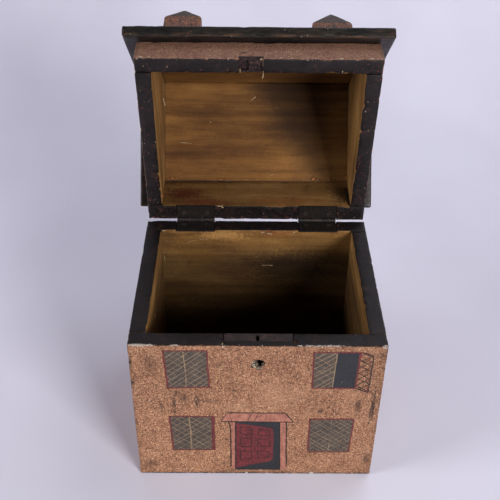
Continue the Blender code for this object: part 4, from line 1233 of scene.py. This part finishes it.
# small dark marks and white flecks on the stipple
for x0, z0, x1, z1, w in (
    (-13.8, 75.6, -11.4, 74.5, 0.7), (36.0, 57.2, 38.0, 58.4, 0.8), (38.0, 58.6, 40.0, 60.2, 0.6), (-48.5, 66.0, -48.1, 56.0, 0.5),
    (-35.4, 66.0, -34.8, 60.5, 0.6), (29.2, 95.0, 28.6, 93.4, 0.5), (-71.9, 83.0, -70.6, 81.6, 0.9), (-72.2, 98.0, -71.4, 96.8, 0.7),
    (66.8, 52.0, 67.8, 66.0, 0.4), (68.2, 60.0, 69.0, 76.0, 0.35),
):
    ink.stroke([(x0, z0), (x1, z1)], w, 0.035, 0.3, int(x0 * 3 + 900), rag=0.7, gaps=0.25)
ink.stroke([(-28.4, 95.1), (-23.0, 95.2), (-17.7, 95.9)], 0.28, 0.035, 0.15, 941, rag=0.6, gaps=0.15)
ink.stroke([(66.8, 46.5), (68.2, 56.0), (69.3, 66.0), (68.6, 76.0)], 0.45, 0.035, 0.25, 942, rag=0.7, gaps=0.35)
# painted shade: a thin dark line along the bottom edge, where the box meets the floor
ink.stroke([(-71.0, 0.9), (0.0, 0.8), (71.0, 0.9)], 0.45, 0.03, 0.15, 943, rag=0.7, gaps=0.3)
ink.stroke([(-71.9, 96.0), (-71.2, 99.0)], 0.6, 0.035, 0.2, 944, rag=0.6)
white = layers["white"]
for x, z, r in ((-62.4, 67.0, 0.45), (-57.3, 69.4, 0.4), (-35.6, 67.6, 0.5), (-5.4, 1.1, 0.9), (35.4, 1.3, 1.3), (-64.0, 14.0, 0.5), (-43.0, 4.2, 0.4), (60.0, 33.0, 0.4)):
    pts = [(x + r * math.cos(a) * (0.8 + 0.4 * rand(int(x * 7) + i)), z + r * 0.8 * math.sin(a) * (0.8 + 0.4 * rand(int(z * 5) + i))) for i, a in enumerate(np.linspace(0, 2 * math.pi, 9)[:-1])]
    white.poly(pts, 0.05, 0.05, 7)
for layer in layers.values():
    layer.build()

# the other three sides, with the same plain lattice windows
for side, frame_of, columns, seed in (
    ("left", dict(origin=(-72.5, 0, 0), ex=(0, -1, 0), ey=(0, 0, 1), out=(-1, 0, 0), body="case", slot="left_wall"), (-38.5, 13.0), 601),
    ("right", dict(origin=(72.5, 0, 0), ex=(0, 1, 0), ey=(0, 0, 1), out=(1, 0, 0), body="case", slot="right_wall"), (-39.0, 13.5), 641),
    ("back", dict(origin=(0, 60.3, 0), ex=(-1, 0, 0), ey=(0, 0, 1), out=(0, 1, 0), body="case", slot="back_wall"), (-53.0, -12.6, 28.0), 681),
):
    other = {
        "pane": Paint(f"{side}_window_panes", paint_pane, **frame_of),
        "tan": Paint(f"{side}_window_lattice", paint_tan, **frame_of),
        "red": Paint(f"{side}_window_frames", paint_red, **frame_of),
    }
    for c, x0 in enumerate(columns):
        for r, z0 in enumerate((22.4, 77.6 if side != "back" else 72.4)):
            j = [(rand(seed + 10 * c + 5 * r + m) - 0.5) * 1.2 for m in range(4)]
            window(
                other, ((x0 + j[0], z0 + 29.0), (x0 + 25.2, z0 + 28.8 + j[1]), (x0 + 24.8 + j[2], z0), (x0 + 0.5, z0 + j[3] * 0.5)),
                (x0 + 12.2 + j[1], x0 + 12.6), ((40, 3.2, 0.30, 0.10), (-39, 3.5, 0.27, 0.18)), seed + 4 * c + 2 * r, mull_w=0.6,
            )
    for layer in other.values():
        layer.build()


# ------------------------------------------------------------------ small solid debris
def lump(verts, faces, at, radii, seed, twist=0.0, rings=5, around=8):
    """Adds one rounded, uneven lump to a mesh being gathered."""
    c = len(verts)
    at = np.array(at, float)
    pts = [np.array([0, 0, 1.0])]
    for i in range(1, rings):
        a = math.pi * i / rings
        for j in range(around):
            b = 2 * math.pi * (j + 0.5 * (i % 2)) / around
            pts.append(np.array([math.sin(a) * math.cos(b), math.sin(a) * math.sin(b), math.cos(a)]))
    pts.append(np.array([0, 0, -1.0]))
    pts = np.array(pts)
    pts = pts * (1 + 0.35 * noise(pts * 3, 1.4, seed))[:, None]
    pts = pts * np.array(radii)
    ct, st = math.cos(twist), math.sin(twist)
    pts = np.stack([pts[:, 0] * ct - pts[:, 2] * st, pts[:, 1], pts[:, 0] * st + pts[:, 2] * ct], 1)
    verts += [tuple(v) for v in pts + at]
    for j in range(around):
        faces.append([c, c + 1 + j, c + 1 + (j + 1) % around])
    for i in range(rings - 2):
        for j in range(around):
            a, b = c + 1 + i * around + j, c + 1 + i * around + (j + 1) % around
            faces.append([a, a + around, b + around, b])
    last = c + 1 + (rings - 1) * around
    for j in range(around):
        faces.append([last, last - around + (j + 1) % around, last - around + j])


def lumps(name, items, material, body, matrix=None):
    verts, faces = [], []
    for i, (at, radii, twist) in enumerate(items):
        lump(verts, faces, at, radii, 300 + 11 * i, twist)
    obj = mesh_object(name, verts, faces, material, matrix=matrix, sharp=60)
    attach(obj, body)
    return obj


crumbs = flat_paint("keyhole_ground", (66, 50, 36), (146, 130, 106), (198, 188, 168), 0.8)
lumps(
    "keyhole_ring_crumbs",
    [
        ((-2.8, -59.6, 99.2), (0.6, 0.36, 0.8), 0.3), ((-3.1, -59.6, 97.4), (0.65, 0.38, 0.8), -0.2), ((-2.6, -59.6, 95.6), (0.7, 0.38, 0.65), 0.6),
        ((-1.6, -59.6, 94.2), (0.75, 0.4, 0.55), 0.1), ((0.3, -59.65, 93.3), (0.8, 0.36, 0.5), 0.0), ((2.3, -59.65, 93.4), (0.6, 0.34, 0.45), -0.4),
        ((-2.0, -59.5, 97.9), (0.5, 0.3, 0.5), 0.4), ((-1.7, -59.45, 95.7), (0.5, 0.3, 0.45), 0.2),
    ],
    crumbs, "case",
)

glue = flat_paint("old_glue", (70, 36, 16), (122, 72, 32), (176, 118, 62), 0.9)
sliver = flat_paint("split_wood", (92, 70, 44), (140, 116, 82), (184, 164, 130), 0.8)
dark_gap = flat_paint("open_joint", (10, 7, 5), (20, 13, 9), (44, 28, 16), 1.0)
lumps(
    "lid_glue_crumbs",
    [
        ((-57.6, 49.5, 139.3), (1.5, 0.8, 0.8), 0.2), ((-55.0, 49.6, 139.2), (1.2, 0.7, 0.7), -0.3), ((-59.6, 49.7, 139.3), (0.8, 0.6, 0.7), 0.5),
        ((39.4, 49.3, 139.5), (1.5, 0.9, 1.0), 0.3), ((41.6, 49.8, 138.9), (1.6, 0.7, 0.6), -0.2), ((44.6, 49.8, 138.8), (1.0, 0.6, 0.6), 0.4),
        ((49.8, 49.9, 138.7), (0.9, 0.5, 0.5), 0.1), ((-24.0, 50.0, 138.9), (0.9, 0.4, 0.4), 0.0), ((-7.0, 50.0, 138.9), (1.4, 0.4, 0.35), 0.1),
        ((16.0, 50.0, 138.9), (1.6, 0.4, 0.35), 0.0), ((61.6, 48.6, 140.0), (0.7, 0.9, 0.9), 0.0), ((61.7, 44.8, 136.0), (0.5, 1.2, 0.6), 0.2),
        ((-61.8, 44.0, 114.0), (0.5, 1.2, 0.8), 0.0), ((-61.7, 49.4, 126.0), (0.6, 0.8, 1.6), 0.0),
    ],
    glue, "lid", LID_TURN,
)
lumps(
    "lid_splinters",
    [
        ((2.35, -57.2, 112.0), (0.35, 2.8, 0.55), 0.0), ((2.55, -52.4, 111.8), (0.3, 2.6, 0.5), 0.1), ((2.5, -49.0, 111.9), (0.32, 1.9, 0.42), 0.25),
        ((2.1, -47.4, 112.2), (0.25, 0.9, 0.3), 0.2), ((-10.9, -51.6, 112.3), (0.4, 1.4, 0.3), 0.0), ((-61.9, 5.5, 163.6), (0.5, 2.6, 0.9), 0.3),
        ((-62.0, 1.2, 161.5), (0.35, 2.2, 0.5), 0.1), ((1.2, -59.3, 112.2), (0.9, 0.5, 0.4), 0.3), ((-24.2, 50.5, 111.55), (2.1, 0.5, 0.35), 0.0),
        ((-22.4, 51.4, 111.3), (1.0, 0.7, 0.25), 0.0),
    ],
    sliver, "lid", LID_TURN,
)
lumps(
    "case_splinters",
    [
        ((4.6, 50.2, 109.0), (1.7, 0.35, 0.45), 0.25), ((8.6, 50.2, 108.0), (1.9, 0.4, 0.6), -0.2), ((25.0, 50.2, 108.7), (0.8, 0.35, 0.55), 0.5),
        ((-60.9, 49.6, 110.3), (1.1, 0.5, 0.5), 0.0), ((-20.0, -57.9, 110.35), (0.7, 0.9, 0.35), 0.0), ((62.6, 20.0, 104.0), (0.25, 0.5, 0.4), 0.0),
        ((-62.6, -10.0, 88.0), (0.25, 0.4, 0.4), 0.0), ((-43.6, 50.15, 51.0), (0.4, 0.2, 0.35), 0.0),
    ],
    sliver, "case",
)
INNER = dict(origin=(0, 50.3, 0), ex=(-1, 0, 0), ey=(0, 0, 1), out=(0, -1, 0), body="case", slot="back_wall")
marks = Paint("case_inner_scratches", sliver, **{**INNER, "ex": (1, 0, 0)})
for a, b, w in (((-45.4, 100.6), (-38.0, 102.4), 0.34), ((-39.0, 102.6), (-31.5, 103.3), 0.42), ((3.7, 81.6), (11.8, 81.2), 0.3), ((-62.0, 92.0), (-61.4, 84.0), 0.3), ((-52.0, 97.0), (-50.5, 96.5), 0.3)):
    marks.stroke([a, b], w, 0.05, 0.25, int(a[0]) + 700, rag=0.6, gaps=0.3)
marks.build()
SLOPE = dict(
    origin=(0, 0, RIM_Z + EAVE_Z + HALF_D * TAN), ex=(1, 0, 0), ey=(0, COS, -SIN), out=(0, -SIN, -COS), body="lid", slot="roof_back_board",
    matrix=LID_TURN,
)
marks = Paint("lid_inner_scratches", sliver, **SLOPE)
for (x0, y0), (x1, y1), w in (((-4.0, 9.2), (-0.8, 7.0), 0.6), ((-31.8, 20.5), (-31.0, 20.0), 0.5), ((-52.0, 31.0), (-44.0, 31.3), 0.3), ((10.0, 47.6), (13.0, 47.0), 0.35)):
    marks.stroke([(x0, y0 / COS), (x1, y1 / COS)], w, 0.16, 0.2, int(x0) + 760, rag=0.6, gaps=0.2)
marks.build()
gap = Paint("lid_open_joint", dark_gap, origin=(0, 50.4, 0), ex=(1, 0, 0), ey=(0, 0, 1), out=(0, -1, 0), body="lid", slot="lid_back_wall", matrix=LID_TURN)
gap.stroke([(60.0, 131.5), (60.9, 124.0), (61.4, 113.5)], 1.5, 0.10, 0.3, 801, rag=0.5)
gap.build()
# flecks along the lid's front arris and the rims
flecks = {
    "pale": Paint("lid_front_pale_flecks", paint_white, origin=(0, -60, 0), ex=(1, 0, 0), ey=(0, 0, 1), out=(0, -1, 0), body="lid", slot="lid_front_wall", matrix=LID_TURN),
    "red": Paint("lid_front_red_flecks", paint_red, origin=(0, -60, 0), ex=(1, 0, 0), ey=(0, 0, 1), out=(0, -1, 0), body="lid", slot="lid_front_wall", matrix=LID_TURN),
}
for k in range(46):
    x = -70 + 140 * rand(1000 + k)
    if -13 < x < 4:
        continue
    z = 112.25 + 0.9 * rand(1100 + k) ** 2
    long = 0.4 + 1.6 * rand(1200 + k) ** 2
    which = "pale" if rand(1300 + k) < 0.62 else "red"
    flecks[which].stroke([(x, z), (x + long, z + 0.3 * (rand(1400 + k) - 0.5))], 0.3 + 0.45 * rand(1500 + k), 0.12, 0.1, 1600 + k, rag=0.6)
for layer in flecks.values():
    layer.build()
rim_flecks = {
    key: Paint(f"lid_rim_{key}_flecks", look, origin=(0, 0, LID_RIM), ex=(1, 0, 0), ey=(0, 1, 0), out=(0, 0, -1), body="lid", slot="lid_front_wall", matrix=LID_TURN)
    for key, look in (("pale", sliver), ("red", paint_red))
}
for k in range(90):
    u = rand(2000 + k)
    v = rand(2100 + k)
    pick = int(rand(2200 + k) * 4)
    x, y = ((-70 + 140 * u, -59 + 8 * v), (-70.5 + 7.5 * v, -48 + 96 * u), (63.5 + 7.5 * v, -48 + 96 * u), (-70 + 140 * u, 51.5 + 8 * v))[pick]
    if (pick == 0 and -13 < x < 4) or (pick == 3 and abs(abs(x) - 40.5) < 14):
        continue
    which = "red" if rand(2300 + k) < 0.86 else "pale"
    a = 3.1 * rand(2400 + k)
    long = 0.4 + 0.9 * rand(2500 + k) ** 2
    rim_flecks[which].stroke([(x, y), (x + long * math.cos(a), y + long * math.sin(a))], 0.22 + 0.3 * rand(2600 + k), 0.11, 0.1, 2700 + k, rag=0.6)
for layer in rim_flecks.values():
    layer.build()

# ------------------------------------------------------------------ stage and light
floor_look = Look("paper_floor")
paper = floor_look.noise(140, 2.0, 0.5)
floor_look.finish(floor_look.ramp(paper, (0.3, linear(206, 204, 218)), (0.7, linear(214, 212, 226))), 0.85, floor_look.noise(3.0, 3.0, 0.6), 0.05, specular=0.2)
bm = bmesh.new()
profile = [(-1.8, 0.0), (-0.8, 0.0), (0.0, 0.0), (0.32, 0.0)]
for i in range(1, 15):
    a = math.pi / 2 * i / 14
    profile.append((0.32 + 0.6 * math.sin(a), 0.6 - 0.6 * math.cos(a)))
profile += [(0.92, 1.2), (0.92, 2.4)]
rows = []
for y, z in profile:
    rows.append([bm.verts.new((x, y, z - 0.0001)) for x in np.linspace(-2.2, 2.2, 9)])
for a, b in zip(rows, rows[1:]):
    for i in range(len(a) - 1):
        bm.faces.new((a[i], a[i + 1], b[i + 1], b[i]))
mesh = bpy.data.meshes.new("backdrop")
bm.to_mesh(mesh)
bm.free()
mesh.materials.append(floor_look.mat)
mesh.shade_smooth()
backdrop = bpy.data.objects.new("backdrop", mesh)
bpy.context.scene.collection.objects.link(backdrop)


def softbox(name, at, aim, size, watts, colour):
    light = bpy.data.lights.new(name, "AREA")
    light.shape = "RECTANGLE"
    light.size, light.size_y = size
    light.energy = watts
    light.color = colour
    obj = bpy.data.objects.new(name, light)
    bpy.context.scene.collection.objects.link(obj)
    obj.location = at
    obj.rotation_euler = (Vector(aim) - Vector(at)).to_track_quat("-Z", "Y").to_euler()
    return obj


softbox("key", (0.84, -1.25, 0.65), (0.0, 0.0, 0.12), (0.6, 0.6), 29.0, (1.0, 0.985, 0.985))
softbox("left", (-1.42, -0.42, 0.50), (0.0, 0.0, 0.12), (0.7, 0.7), 18.0, (0.985, 0.985, 1.0))
softbox("back", (0.5, 0.55, 1.3), (0.1, 0.2, 0.0), (0.9, 0.7), 6.5, (0.96, 0.97, 1.0))
world = bpy.data.worlds.new("studio")
world.use_nodes = True
world.node_tree.nodes["Background"].inputs[0].default_value = (0.86, 0.86, 1.0, 1.0)
world.node_tree.nodes["Background"].inputs[1].default_value = 0.04
bpy.context.scene.world = world
bpy.context.scene.view_settings.view_transform = "Standard"

bpy.context.view_layer.update()
